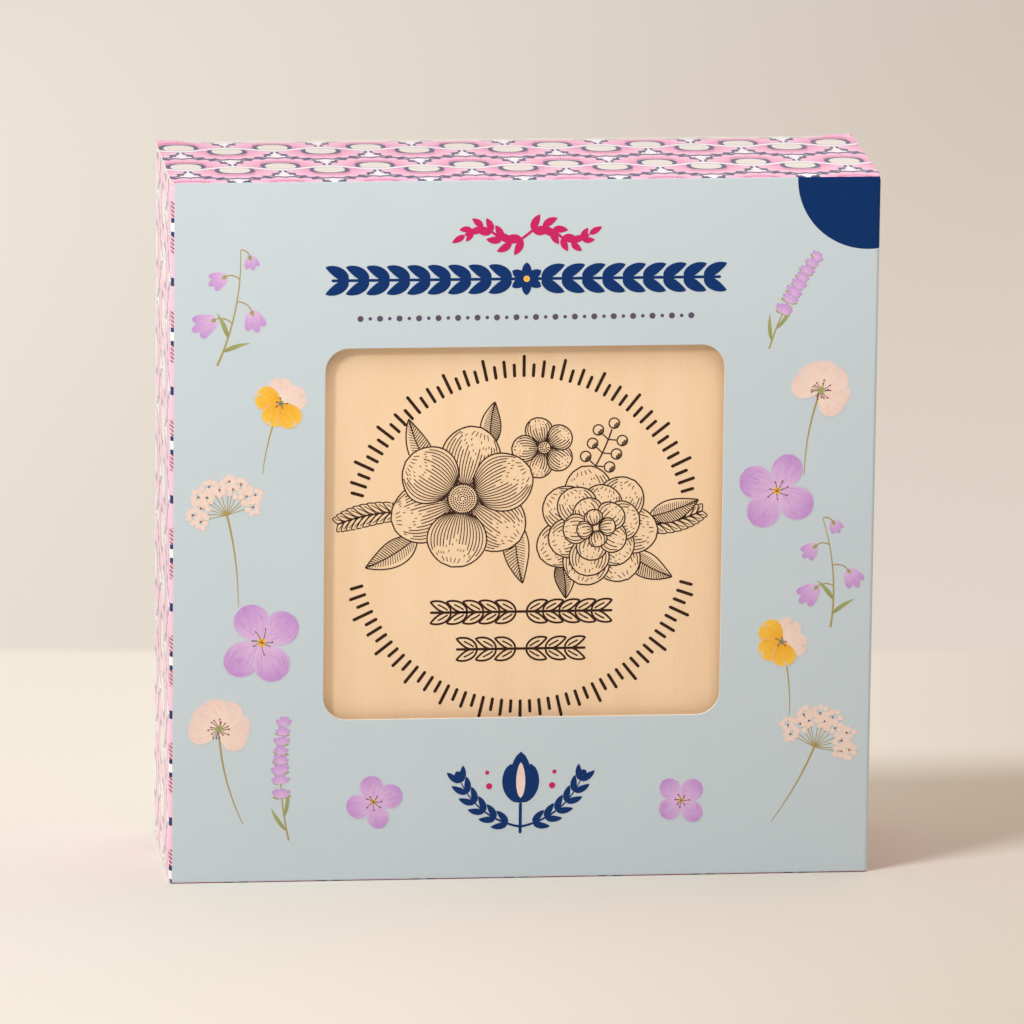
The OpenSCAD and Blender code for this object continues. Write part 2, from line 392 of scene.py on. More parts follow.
def fan_field(u, v):
    """The fan at a place on the card, u along a row and v across the rows. Each second row lies on top."""
    wave = (u * (2 * math.pi / FAN_WIDE)).cosine() * FOOT_WAVE
    height = (v + wave) % FAN_PAIR
    across = u.zigzag(FAN_WIDE / 2)
    one = fan(across, height)
    two = fan(FAN_WIDE / 2 - across, FAN_PAIR - height)
    first = (one[0] < two[0]) * (two[0] > 1)
    pick = [b + (a - b) * first for a, b in zip(one, two)]
    side = (FAN_WIDE / 2 - across) + (2 * across - FAN_WIDE / 2) * first
    lift = (FAN_PAIR - height) + (2 * height - FAN_PAIR) * first
    return pick, side, lift

# %% The fan pattern's colours
PINK, ROSE, NAVY = paint(250, 190, 214), paint(232, 136, 182), paint(30, 30, 96)
CREAM, CRIMSON, BLUSH = paint(232, 222, 214), paint(176, 26, 92), paint(250, 238, 242)


def fan_colours(finish, u, v):
    (near, petal, reach), side, lift = fan_field(u, v)
    step, mix = finish.step, finish.mix
    tint = mix(step(reach, 0.66, 0.30), ROSE, PINK)
    seam = (1 - step(petal.zigzag(0.5), 0.05, 0.04)) * step(reach, 0.55, 0.05) * 0.35
    tint = mix(seam, tint, ROSE)
    eye = ((side / 4.3) ** 2 + ((lift - 3.6) / 5.2) ** 2) ** 0.5
    ticks = 1 - step((petal * 4).zigzag(0.5), 0.20, 0.07)
    lashes = ticks * step(eye, 1.30, 0.02) * (1 - step(eye, 1.56, 0.03))
    tint = mix(lashes * (1 - step(side, 5.2, 0.4)) * (lift > 4), tint, CRIMSON)
    ring = 1 - step(eye, 1.14 + 0.010 * side ** 1.6, 0.06)
    tint = mix(ring, tint, NAVY)
    tint = mix(1 - step(eye, 0.98, 0.05), tint, CREAM)
    tint = mix(step(near, 0.905 + 0.0028 * side, 0.015), tint, NAVY)
    knot_side = abs(petal - petal.rounded()) * near * 5.2
    knot = (knot_side < 0.85) * (abs(near - 0.99) < 0.085) * (petal > 0.5) * (petal < 3.5)
    tint = mix(step(near, 1.0, 0.015), tint, BLUSH)
    tint = mix(knot, tint, NAVY)
    tint = mix((1 - step(lift, 1.35, 0.08)) * 0.8, tint, NAVY)
    return mix(1 - step(lift, 1.0, 0.08), tint, BLUSH)

# %% Fan printed card, one finish for each way that the rows run
def fold_colours(finish, z, lean):
    """The band on the fold, where the fans show by turns as white, navy, crimson ticks and pink."""
    step, mix = finish.step, finish.mix
    off = z.zigzag(15.6)
    ticks = (1 - step(((z + lean) / 1.16).zigzag(0.5), 0.24, 0.05)) * (1 - step(off, 7.4, 0.2))
    tint = mix(ticks, PINK, paint(150, 14, 78))
    tint = mix(1 - step(off, 2.6, 0.08), tint, NAVY)
    tint = mix(1 - step(off, 1.25, 0.08), tint, BLUSH)
    return mix(step(off, 14.4, 0.08), tint, NAVY)


def printed_fans(name, across, along, shift, slide=0.0, wide=1.0, deep=1.0, gloss=0.5, fold=False):
    """Fan printed card with its rows along one axis, moved and stretched to fit its panel."""
    finish = Finish(name, Coat_Weight=gloss, Coat_Roughness=0.2, Coat_IOR=1.5, Specular_IOR_Level=0.3)
    where = finish.place()
    card_surface(finish, where)
    ways = dict(zip("xyz", finish.parts(where)))
    tint = fan_colours(finish, (ways[across] + slide) / wide, (ways[along] + shift) / deep)
    if fold:
        flat = finish.step(ways["y"], FRONT_FOLD, 0.04)
        tint = finish.mix(flat, fold_colours(finish, ways["z"] - 2.5, ways["x"] * 0.9), tint)
        finish.set("Coat Weight", 0.1 + gloss * flat)
    finish.colour(tint)
    return finish.material


FRONT_FOLD = -28.75
lid_card = printed_fans("fan_card_lid", "x", "y", 38.3, -12.5, wide=1.027, deep=1.09, gloss=0.34)
side_card = printed_fans("fan_card_side", "z", "y", 33.1, -2.5, wide=1.2, deep=1.2, gloss=0.9, fold=True)
tuck_card = printed_fans("fan_card_tuck", "x", "z", 8.0)
print("made", lid_card.name, side_card.name, tuck_card.name)

# %% [markdown]
# Inside, the board is unprinted: white-grey, fibrous and quite matt. Where it is cut, the pulp shows as a
# cream edge with thin layers. Both are simple, but each shows in the photograph or when the lid opens, so
# each has its own finish, the fibres as noise stretched along one axis and the layers as noise stretched
# across the sheet.
# %% Plain card and cut edges
def plain_board():
    finish = Finish("plain_card_inside", Specular_IOR_Level=0.3)
    where = finish.place()
    fibres = finish.speckle(finish.stretch(where, 1, 1, 0.25), 0.5, 4, 0.7)
    cloud = finish.speckle(where, 9, 2)
    finish.colour(finish.mix(fibres * 0.6 + cloud * 0.4, paint(226, 222, 213), paint(240, 237, 230)))
    finish.rough(0.78 + 0.14 * fibres)
    finish.bump(fibres, 0.02)
    return finish.material


def cut_board():
    finish = Finish("card_cut_edge", Specular_IOR_Level=0.25)
    where = finish.place()
    pulp = finish.speckle(where, 0.35, 4, 0.75)
    patch = finish.speckle(where, 3.0, 2)
    finish.colour(finish.mix(pulp * 0.55 + patch * 0.45, paint(224, 211, 194), paint(247, 241, 230)))
    finish.rough(0.85 + 0.1 * pulp)
    finish.bump(pulp, 0.03)
    return finish.material


inside_card, edge_card = plain_board(), cut_board()
print("made", inside_card.name, edge_card.name)

# %% [markdown]
# A card piece is one printed sheet with a thickness. It is modelled as its outer surface only, with the
# print on it, and Solidify then adds the inside and the cut edges. Solidify can give the new faces other
# materials, counted on from the face's own, so the slots are listed twice for two prints: prints,
# insides, edges.
# %% A helper that gives a sheet its board
CARD = 0.8


def make_card(piece, prints):
    """Turns an outer surface into card: prints outside, plain inside, raw edges round it."""
    count = len(prints)
    for material in [*prints, *[inside_card] * count, *[edge_card] * count]:
        piece.data.materials.append(material)
    modify(piece, "SOLIDIFY", thickness=CARD * MM, offset=-1, use_even_offset=True,
           material_offset=count, material_offset_rim=2 * count)
    return piece


def print_on(piece, slot, test):
    """Gives the faces that pass the test another of the piece's prints."""
    for face in piece.data.polygons:
        centre = Vector(face.center) / MM
        if test(centre, face.normal):
            face.material_index = slot

# %% [markdown]
# The carton's body is one strip of card folded round four corners. Real folds are not sharp: the board
# bends over about a millimetre, and the light catches that bend. So the sleeve starts as a box without a
# top or bottom, its four upright edges get a round bevel, and the corners of the side and back panels are
# cut away where the closures and their ears go in. At the front, the card also bends over the top and
# bottom edges, into the lid and base.
# %% Fold the sleeve
WIDE, DEEP, HIGH = 200.0, 60.0, 202.5
FRONT, BACK = -DEEP / 2, DEEP / 2
NOTCH, EAR_SLOT = 1.05, 91.75
FOLD_ROUND, LIP, LIP_ROUND = 1.1, 0.85, 0.45

sleeve = start_box("carton_sleeve", (-WIDE / 2, FRONT, 0), (WIDE / 2, BACK, HIGH))
choose(sleeve, "FACE", lambda f: abs(f.normal.z) > 0.9)
bpy.ops.mesh.delete(type="FACE")
choose(sleeve, "EDGE", lambda e: abs(middle(e).x) > WIDE / 2 - 0.1 and abs(middle(e).y) > BACK - 0.1)
bpy.ops.mesh.bevel(offset=FOLD_ROUND * MM, segments=6, profile=0.5)
cut(sleeve, z=(NOTCH, HIGH - NOTCH), x=(-EAR_SLOT, EAR_SLOT))


def not_card(face):
    """The parts of the folded strip above and below the side panels and in the ear notches."""
    where, way = middle(face), face.normal
    if NOTCH < where.z < HIGH - NOTCH:
        return False
    return way.y > -0.7 if where.y < -1 else way.y < 0.99 or abs(where.x) > EAR_SLOT


choose(sleeve, "FACE", not_card)
bpy.ops.mesh.delete(type="FACE")

# %% Bend the card over the front's top and bottom edges
def on_front_edge(edge):
    """Whether an edge runs along the front's top or bottom edge at height z."""
    a, b = (v.co / MM for v in edge.verts)
    level = abs(a.z - z) < 0.01 and abs(b.z - z) < 0.01
    return level and (a.y + b.y) / 2 < FRONT + 0.5 and abs(a.y - b.y) < 0.3


for z in (0, HIGH):
    choose(sleeve, "EDGE", on_front_edge)
    bpy.ops.mesh.extrude_region_move(TRANSFORM_OT_translate={"value": (0, LIP * MM, 0)})
    choose(sleeve, "EDGE", on_front_edge)
    bpy.ops.mesh.bevel(offset=LIP_ROUND * MM, segments=3, profile=0.5)
take(sleeve)
prints = [blue_card, side_card, lid_card]
print_on(sleeve, 1, lambda c, n: n.x < -0.2 or n.x > 0.98)
print_on(sleeve, 2, lambda c, n: abs(n.z) > 0.6 and c.y < 0)
make_card(sleeve, prints)

# %% [markdown]
# The window is die-cut: a rounded rectangle punched through the front. A boolean with a rounded block is
# the plainest way to cut it from finished card, and the block carries the edge material, so the cut faces
# come out cream. A very small bevel round the cut then catches the light as the real edge does.
# %% Cut the window
WINDOW_X, WINDOW_UP, WINDOW_ROUND, WINDOW_Z = 113.0 / 2, 107.5 / 2, 6.8, 100.75
punch = start_box("window_punch", (-WINDOW_X, FRONT - 3, WINDOW_Z - WINDOW_UP),
                  (WINDOW_X, FRONT + 3, WINDOW_Z + WINDOW_UP))
choose(punch, "EDGE", lambda e: abs(middle(e).y - FRONT) < 0.1)
bpy.ops.mesh.bevel(offset=WINDOW_ROUND * MM, segments=14, profile=0.5)
take(punch)
for material in sleeve.data.materials:
    punch.data.materials.append(material)
for face in punch.data.polygons:
    face.material_index = 2 * len(prints)
modify(sleeve, "BOOLEAN", operation="DIFFERENCE", solver="EXACT", object=punch)
bpy.data.objects.remove(punch)


def window_rim(edge):
    """Whether an edge is one of the window's sharp edges at the front."""
    for p in (v.co / MM for v in edge.verts):
        if abs(p.y - FRONT) > 0.01 or abs(p.x) > WINDOW_X + 0.5 or abs(p.z - WINDOW_Z) > WINDOW_UP + 0.45:
            return False
    return len(edge.link_faces) == 2 and edge.calc_face_angle() > 1


choose(sleeve, "EDGE", window_rim)
bpy.ops.mesh.bevel(offset=0.16 * MM, segments=2, profile=0.6)
smooth(sleeve, 25)

# %% [markdown]
# The front is printed with pressed flowers, a garland and small ornaments. They are drawn as very thin
# inlays that stand a few hundredths of a millimetre above the card. A picture would blur up close and
# flat faces right on the card would flicker. Each petal is a grid of rows from its foot to its tip, and
# its UV map holds the share along it and the share across it, so that one finish can shade every petal.
# %% Helpers for curved lines
def path(start, heading, length, bend=0.0, count=14):
    """Points along a line that starts at a heading in degrees and turns by bend over its length."""
    (x, z), points = start, [start]
    for i in range(count):
        way = math.radians(heading + bend * (i + 0.5) / count)
        x, z = x + length / count * math.cos(way), z + length / count * math.sin(way)
        points.append((x, z))
    return points


def resample(points, places):
    """Points at these distances along a line."""
    result, walked, i = [], 0.0, 0
    for place in places:
        while i < len(points) - 2 and walked + math.dist(points[i], points[i + 1]) < place:
            walked += math.dist(points[i], points[i + 1])
            i += 1
        share = (place - walked) / max(math.dist(points[i], points[i + 1]), 1e-6)
        result.append(tuple(a + (b - a) * share for a, b in zip(points[i], points[i + 1])))
    return result


def span(points):
    return sum(math.dist(a, b) for a, b in zip(points, points[1:]))


def fine(points, gap):
    """The same line with points no further apart than the gap."""
    length = span(points)
    count = max(2, math.ceil(length / gap))
    return resample(points, [length * i / count for i in range(count + 1)])


def sideways(points, i):
    """The unit direction across a line at one of its points."""
    (ax, az), (bx, bz) = points[max(i - 1, 0)], points[min(i + 1, len(points) - 1)]
    size = math.hypot(bx - ax, bz - az) or 1.0
    return -(bz - az) / size, (bx - ax) / size

# %% Helpers for rows of points, arcs and circles
def rows_of(points, widths, columns):
    """Rows of points across a line, each as wide as its width says."""
    rows = []
    for i, ((x, z), width) in enumerate(zip(points, widths)):
        nx, nz = sideways(points, i)
        steps = [(j / columns - 0.5) * width for j in range(columns + 1)]
        rows.append([(x + nx * s, z + nz * s) for s in steps])
    return rows


def rim(rows):
    """The outline of such rows: along one side and back along the other."""
    return [row[0] for row in rows] + [row[-1] for row in reversed(rows)]


def arc(x, z, radius, start, end, count):
    """Points on an arc, with its angles in degrees."""
    turns = [math.radians(start + (end - start) * i / count) for i in range(count + 1)]
    return [(x + radius * math.cos(t), z + radius * math.sin(t)) for t in turns]


def circle(x, z, radius, sides):
    """A closed round line."""
    return arc(x, z, radius, 0, 360, sides)

# %% Thin inlays
class Inlay:
    """Thin patches on an upright plane, gathered into one piece."""

    def __init__(self, name, plane, materials):
        self.name, self.plane, self.materials = name, plane, materials
        self.points, self.faces, self.slots, self.uvs, self.count = [], [], [], [], 0

    def patch(self, rows, slot, layer):
        """Adds a grid of points as faces, a little higher or lower than the patches before it."""
        first, columns, seed = len(self.points), len(rows[0]), len(self.slots)
        self.count += 1
        lift = 0.02 + layer * 0.014 + self.count * 7 % 13 * 0.001
        for i, row in enumerate(rows):
            for j, (x, z) in enumerate(row):
                self.points.append((x, self.plane - lift, z))
                self.uvs.append((i / (len(rows) - 1), seed % 97 + 0.02 + 0.96 * j / (columns - 1)))
        for i in range(len(rows) - 1):
            for j in range(columns - 1):
                a = first + i * columns + j
                self.faces.append((a, a + 1, a + columns + 1, a + columns))
                self.slots.append(slot)

    def stroke(self, points, width, slot=0, layer=2, taper=False):
        """A line with round ends, or one that also thins out towards its end."""
        length, half = span(points), width / 2
        ends = [0, 0.12 * half, 0.5 * half, half]
        inner = [span(points[:k + 1]) for k in range(1, len(points) - 1)]
        places = ends + [p for p in inner if 1.2 * half < p < length - 1.2 * half]
        places += [length - e for e in reversed(ends)]
        widths = []
        for p in places:
            round_end = (1 - (1 - min(p, length - p, half) / half) ** 2) ** 0.5
            thinning = 1 - 0.65 * p / length if taper else 1
            widths.append(width * min(1, round_end + 0.02) * thinning)
        self.patch(rows_of(resample(points, places), widths, 1), slot, layer)

    def petal(self, start, heading, length, width, slot, shape, power, bend=0.0, layer=2, notch=0.0):
        """A petal or a leaf. More shape moves its widest part outwards, and less power makes it blunter."""
        count, columns = (12, 6) if length > 6 else (8, 4) if length > 3 else (5, 2)
        line = path(start, heading, length, bend, count)
        swells = [math.sin(math.pi * (i / count) ** shape) ** power for i in range(count + 1)]
        rows = rows_of(line, [max(width * s, 0.04) for s in swells], columns)
        if notch:
            way = math.radians(heading + bend)
            inwards = [1 - abs(2 * j / columns - 1) for j in range(columns + 1)]
            for i, row in enumerate(rows):
                pulls = [notch * (i / count) ** 6 * share for share in inwards]
                rows[i] = [(x - math.cos(way) * p, z - math.sin(way) * p) for (x, z), p in zip(row, pulls)]
        self.patch(rows, slot, layer)

    def dot(self, x, z, radius, slot, layer=2):
        sides = 7 if radius < 0.3 else 20
        rings = [circle(x, z, 0.02 * radius, sides), circle(x, z, radius, sides)]
        self.patch([ring[::-1] for ring in rings], slot, layer)

    def done(self, thickness):
        """Makes the piece from all its patches, and gives it its thickness."""
        piece = from_points(self.name, self.points, (), self.faces)
        mesh = piece.data
        layer = mesh.uv_layers.new(name="UVMap")
        for loop in mesh.loops:
            layer.data[loop.index].uv = self.uvs[loop.vertex_index]
        for material in self.materials:
            mesh.materials.append(material)
        for face, slot in zip(mesh.polygons, self.slots):
            face.material_index = slot
        for face in mesh.polygons:
            if face.normal.y > 0:
                face.flip()
        modify(piece, "SOLIDIFY", thickness=thickness * MM, offset=-1)
        print(self.name, len(mesh.polygons), "faces")
        return piece

# %% [markdown]
# A pressed petal in print has a paler foot, fine veins that run to its tip, a blotchy tone and a soft
# edge that melts into the card. The finish reads the UV map: along the petal for the foot and the tip,
# and across it for the veins and the soft edge. Flat inks for the garland and the ornaments only vary a
# little in strength.
# %% Printed petals and inks
CARD_TINT, PRINT_THICK = paint(202, 214, 219), 0.24


def petal_print(name, foot, tip, vein, soft=0.75):
    finish = Finish(name, **VARNISH)
    uv = finish.node("ShaderNodeTexCoord", take="UV")
    along, lane = finish.parts(uv)[:2]
    off = abs(lane % 1.0 - 0.5) * 2
    veins = finish.speckle(finish.stretch(uv, 2.5, 26, 1), 1.0, 3, 0.6)
    blotch = finish.speckle(finish.stretch(uv, 3, 5, 1), 1.0, 2)
    tint = finish.mix((along * 0.9 + blotch * 0.5 - 0.2).least(1.0).most(0.0), foot, tip)
    tint = finish.mix(finish.step(veins, 0.58, 0.10) * 0.45, tint, vein)
    edge = finish.step(off, 0.93, 0.12).most(finish.step(along, 0.98, 0.035)) * soft
    finish.colour(finish.mix(edge, tint, CARD_TINT))
    card_surface(finish, finish.place())
    return finish.material


def ink(name, colour, faded):
    """A flat ink, a little faded in places."""
    finish = Finish(name, **VARNISH)
    where = finish.place()
    pulp, cloud = card_surface(finish, where)
    finish.colour(finish.mix(pulp * 0.25 + cloud * 0.15, colour, faded))
    return finish.material


PRINTS = [
    petal_print("petal_lilac", paint(232, 196, 232), paint(198, 146, 212), paint(168, 108, 186)),
    petal_print("petal_yellow", paint(244, 170, 40), paint(252, 204, 82), paint(236, 150, 30)),
    petal_print("petal_peach", paint(248, 226, 208), paint(242, 210, 200), paint(228, 184, 168), 0.9),
    petal_print("leaf_olive", paint(150, 156, 92), paint(176, 178, 116), paint(120, 128, 70), 0.5),
    ink("ink_stem", paint(172, 150, 86), paint(190, 172, 112)),
    ink("ink_stamen", paint(126, 62, 74), paint(160, 104, 84)),
    ink("ink_navy", paint(4, 46, 106), paint(18, 60, 118)),
    ink("ink_crimson", paint(200, 30, 96), paint(210, 54, 112)),
    ink("ink_mauve", paint(92, 76, 100), paint(112, 96, 120))]
LILAC, YELLOW, PEACH, OLIVE, STEM, STAMEN, INK_NAVY, INK_CRIMSON, INK_MAUVE = range(9)
print("made", *[material.name for material in PRINTS])

# %% [markdown]
# Each kind of flower is one function: a harebell sprig, a cuckoo flower with four petals, a primrose with
# notched petals, a lacy umbel, a poppy and a lavender sprig. What the card shows is a scatter of these,
# turned and sized one by one. A seeded random generator gives each its small irregularities, the same ones
# on each run.
# %% Flowers for the print
front_print = Inlay("front_print", FRONT, PRINTS)
petal, stroke, dot = front_print.petal, front_print.stroke, front_print.dot
chance = random.Random(11)


def harebell_sprig(x, z, heading, size):
    """Nodding bells on a curved stem, each with a small calyx."""
    stem = path((x, z), heading, 34 * size, 26, 16)
    stroke(stem, 0.6 * size, STEM, 1, True)
    for place, side, drop in ((6, 1, 5), (9, -1, 5), (12, 1, 4), (16, -1, 3)):
        start = stem[place]
        stalk = path(start, heading + side * 62, drop * size, side * 70, 6)
        stroke(stalk, 0.35 * size, STEM, 1)
        aim, long = heading + side * 140, (9.5 - 0.3 * place) * size
        for lobe, layer in ((20, 3), (-20, 4), (0, 5)):
            reach = long * (1 - abs(lobe) / 200)
            petal(stalk[-1], aim + lobe, reach, long * 0.42, LILAC, 0.85, 0.45, lobe * 0.7, layer)
        petal(stalk[-1], aim, 1.8 * size, 1.2 * size, OLIVE, 0.8, 0.8, 0, 6)
    for place, side in ((2, -1), (4, 1)):
        aim = heading + side * 38
        petal(stem[place], aim, 8 * size, 1.3 * size, OLIVE, 0.7, 0.9, side * 20, 2)


def stamens(x, z, count, reach):
    """Fine threads with a dot at each tip, round a flower's middle."""
    for i in range(count):
        aim = 360 * i / count + chance.uniform(-14, 14)
        line = path((x, z), aim, reach * chance.uniform(0.6, 1), 25, 5)
        stroke(line, 0.16, STAMEN, 9)
        dot(*line[-1], 0.24, STAMEN, 10)


def cuckoo_flower(x, z, turn_by, size):
    for i in (0, 2, 1, 3):
        aim = turn_by + 90 * i + chance.uniform(-9, 9)
        foot = path((x, z), aim, 0.7 * size)[-1]
        length, width = chance.uniform(8.6, 10) * size, chance.uniform(7.6, 9) * size
        petal(foot, aim, length, width, LILAC, 1.15, 0.5, chance.uniform(-14, 14), 3 + i)
    dot(x, z, 1.0 * size, YELLOW, 8)
    stamens(x, z, 7, 3.2 * size)


def primrose(x, z, turn_by, size, down, stem, bend):
    stroke(path((x, z), down, stem, bend, 16), 0.55, STEM, 0, True)
    for i in range(5):
        aim = turn_by + 72 * i + chance.uniform(-7, 7)
        slot = PEACH if i in (0, 1) else YELLOW
        length, width = chance.uniform(7.2, 8.2) * size, chance.uniform(6.6, 7.6) * size
        petal((x, z), aim, length, width, slot, 1.3, 0.5, 0, 3 + i, 2.0 * size)
    dot(x, z, 0.9 * size, OLIVE, 8)
    stamens(x, z, 5, 1.9 * size)

# %% Flowers of many small parts
def lace_umbel(x, z, heading, size, stem):
    """Thirteen rays from one point, each with a cluster of tiny petals."""
    stroke(path((x, z), heading + 180, stem, -14, 16), 0.6, STEM, 0, True)
    for i in range(13):
        ray = path((x, z), heading - 84 + 14 * i, size * (8.4 + 2.2 * (i % 2)), chance.uniform(-12, 12), 6)
        stroke(ray, 0.22, STEM, 1)
        cx, cz = ray[-1]
        for k in range(7):
            aim = 51 * k + 20 * i
            px, pz = path((cx, cz), aim, chance.uniform(0.2, 1.5) * size)[-1]
            petal((px, pz), aim, 2.1 * size, 1.7 * size, PEACH, 0.9, 0.5, 0, 3 + (k + 2 * i) % 4)
        dot(cx, cz, 0.28, STAMEN, 8)


def pressed_poppy(x, z, turn_by, size, stem, bend):
    stroke(path((x, z), turn_by - 96, stem, bend, 16), 0.65, STEM, 0, True)
    for i, aim in enumerate((-20, 160, 68, 112)):
        petal((x, z), turn_by + aim, 9.4 * size, 12.2 * size, PEACH, 1.2, 0.42, 0, 3 + i, 0.8 * size)
    stamens(x, z, 15, 3.4 * size)
    dot(x, z, 1.15 * size, OLIVE, 11)


def lavender_sprig(x, z, heading, length, size):
    """Whorls of small petals up a stem, smaller towards the top."""
    stem = path((x, z), heading, length, -20, 24)
    stroke(stem, 0.5, STEM, 0, True)
    for i in (9, 12, 14, 16, 18, 20, 22, 24):
        for k in range(7):
            aim = heading - 20 * i / 24 + (k - 3) * 27 + chance.uniform(-8, 8)
            grow = size * chance.uniform(2.7, 3.5) * (1.15 - 0.35 * i / 24)
            long, wide, slot, layer = (0.8, 0.3, OLIVE, 2) if k in (0, 6) else (1, 0.5, LILAC, 3)
            petal(stem[i], aim, grow * long, grow * wide, slot, 0.95, 0.55, 0, layer)
    for place, side in ((2, 1), (5, -1)):
        aim = heading + side * 30
        petal(stem[place], aim, 8 * size, 1.1 * size, OLIVE, 0.8, 0.9, -side * 20, 1)

# %% Scatter the flowers
harebell_sprig(-87, 150, 66, 1.0)
primrose(-69, 139, 20, 1.0, 248, 21, 16)
lace_umbel(-84, 107, 104, 0.92, 27)
cuckoo_flower(-74, 70, 32, 1.28)
pressed_poppy(-86, 45, 8, 0.95, 29, 24)
lavender_sprig(-66, 12, 103, 34, 1.05)
cuckoo_flower(-42, 23, 10, 0.82)
lavender_sprig(69, 153, 74, 29, 1.0)
pressed_poppy(84, 141, -14, 0.92, 25, 20)
cuckoo_flower(72, 112, 58, 1.12)
harebell_sprig(88, 72, 82, 0.95)
primrose(74, 68, -10, 1.0, 286, 22, -18)
lace_umbel(84, 37, 68, 0.95, 25)
cuckoo_flower(46, 22, 40, 0.75)
print("flowers drawn", front_print.count, "patches")

# %% [markdown]
# Plain ornaments are printed above and below the window, in the card's three inks: a vine flourish, a
# garland of leaves, a row of dots, and a bud between two branches. They are built from the same strokes
# and petals.
# %% Ornaments above and below the window
def garland(z, half, leaf, slot):
    """Leaves in pairs along a line, all pointing away from the middle."""
    count = round(half / (leaf * 0.84))
    stroke([(-half + 2, z), (half - 2, z)], 0.8, slot)
    for i in range(1, count + 1):
        for side in (-1, 1):
            x = side * (i - 0.25) * (half - leaf * 0.7) / count
            for up in (-1, 1):
                aim = (0 if side > 0 else 180) + side * up * 46
                petal((x, z), aim, leaf, leaf * 0.42, slot, 0.8, 0.7, -side * up * 30, 3)
    for i in range(6):
        petal((0, z), 60 * i + 30, leaf * 0.62, leaf * 0.36, slot, 0.9, 0.6, 0, 4)
    dot(0, z, 0.9, YELLOW, 6)


def vine_flourish(z, half, slot):
    """A stem in a slow wave, with pairs of leaves along it and a leaf at each end."""
    count, rise_by = 120, 2.2
    heights = [z + rise_by * math.sin(4 * math.pi * i / count) for i in range(count + 1)]
    stem = [(half * (2 * i / count - 1), height) for i, height in enumerate(heights)]
    stroke(stem, 0.75, slot)
    for side in (-1, 1):
        for i in range(6):
            at = round(count / 2 + side * (5 + i * 9.6))
            slope = rise_by * 2 * math.pi / half * math.cos(4 * math.pi * at / count)
            ahead = math.degrees(math.atan(slope)) + (0 if side > 0 else 180)
            for up in (-1, 1):
                long, wide = 5.2 - 0.3 * i, 2.3 - 0.1 * i
                petal(stem[at], ahead + up * 44, long, wide, slot, 0.85, 0.75, up * -26, 3)
        petal(stem[-1] if side > 0 else stem[0], ahead, 4.2, 1.8, slot, 0.85, 0.75, 0, 3)


def bud_sprig(x, z, slot):
    for lobe in (-26, 26, 0):
        petal((x, z), 90 + lobe, 15 - abs(lobe) * 0.12, 6.4, slot, 0.9, 0.6, -lobe * 0.9)
    petal((x, z + 1.4), 90, 10.5, 2.6, PEACH, 0.9, 0.6, 0, 5)
    stroke([(x, z), (x, z - 9)], 0.9, slot)
    for side in (-1, 1):
        branch = path((x, z - 7), 90 - side * 80, 25, side * 62, 20)
        stroke(branch, 0.7, slot, 2, True)
        for i in range(3, 20, 3):
            for up in (-1, 1):
                aim = 90 - side * 80 + side * 62 * i / 20 + up * 42
                petal(branch[i], aim, 5.0, 1.9, slot, 0.8, 0.7, -up * 24, 3)
        dot(*branch[-1], 0.9, slot, 4)
        dot(x + side * 9, z + 5, 0.9, INK_CRIMSON, 3)
        dot(x + side * 9.6, z + 9, 0.6, INK_CRIMSON, 3)

# %% Place the ornaments
vine_flourish(186.6, 17.5, INK_CRIMSON)
garland(174.0, 57.0, 7.6, INK_NAVY)
for n in range(-17, 18):
    dot(n * 2.75, 163.0, 0.85 if n % 2 else 0.5, INK_MAUVE)
bud_sprig(0, 22, INK_NAVY)
front_print_piece = front_print.done(PRINT_THICK)

# %% [markdown]
# The lid is a panel that hinges along the front's top edge. Its rear edge bends down into the tuck flap
# and is pulled down a little by it. At each rear corner a raw ear reaches back over the panel behind, and
# nothing holds it down. The lid starts as a sheet, the part between the ears is cut back, and the points
# near the rear fold are lowered. A modifier could bend the sheet, but a few moved points keep the fold
# lines straight.
# %% The lid
LID_START, TUCK_Y, EAR = -29.14, 28.9, 92.0
SAG, SAG_FROM, EAR_RISE, EAR_FROM = 0.30, 16.0, 0.5, 22.0


def portion(value, low, high):
    """How far a value is from low to high, kept between 0 and 1."""
    return min(max((value - low) / (high - low), 0), 1)


def on_rear_fold(edge):
    """Whether an edge runs along the upper side of the fold between the lid and its tuck flap."""
    where, (a, b) = middle(edge), edge.verts
    upper = where.y > TUCK_Y - 0.01 and where.z > HIGH - 0.45 and abs(where.x) < EAR
    return upper and abs(a.co.y - b.co.y) < 0.01 * MM


def closure_panel(name):
    """The panel that covers the top, with its rear fold and its ears."""
    panel = start_sheet(name, (-WIDE / 2, LID_START), (WIDE / 2, BACK), HIGH)
    cut(panel, x=(-96, -EAR, -88, -80, -40, 0, 40, 80, 88, EAR, 96))
    cut(panel, y=(-20, 0, 14, 19, 22, 24, 26, 27.5, TUCK_Y))
    choose(panel, "FACE", lambda f: middle(f).y > TUCK_Y and abs(middle(f).x) < EAR)
    bpy.ops.mesh.delete(type="FACE")
    take(panel)
    for corner in panel.data.vertices:
        x, y = abs(corner.co.x) / MM, corner.co.y / MM
        side = portion(EAR - x, 0, 9)
        corner.co.z -= SAG * MM * portion(y, SAG_FROM, TUCK_Y) ** 2 * side * side * (3 - 2 * side)
    make_card(panel, [lid_card])
    choose(panel, "EDGE", on_rear_fold)
    bpy.ops.mesh.bevel(offset=0.65 * MM, segments=4, profile=0.5)
    take(panel)
    print_on(panel, 0, lambda c, n: n.z > 0.05 and c.y < BACK - 0.01)
    return smooth(panel, 30)


lid = closure_panel("carton_lid")

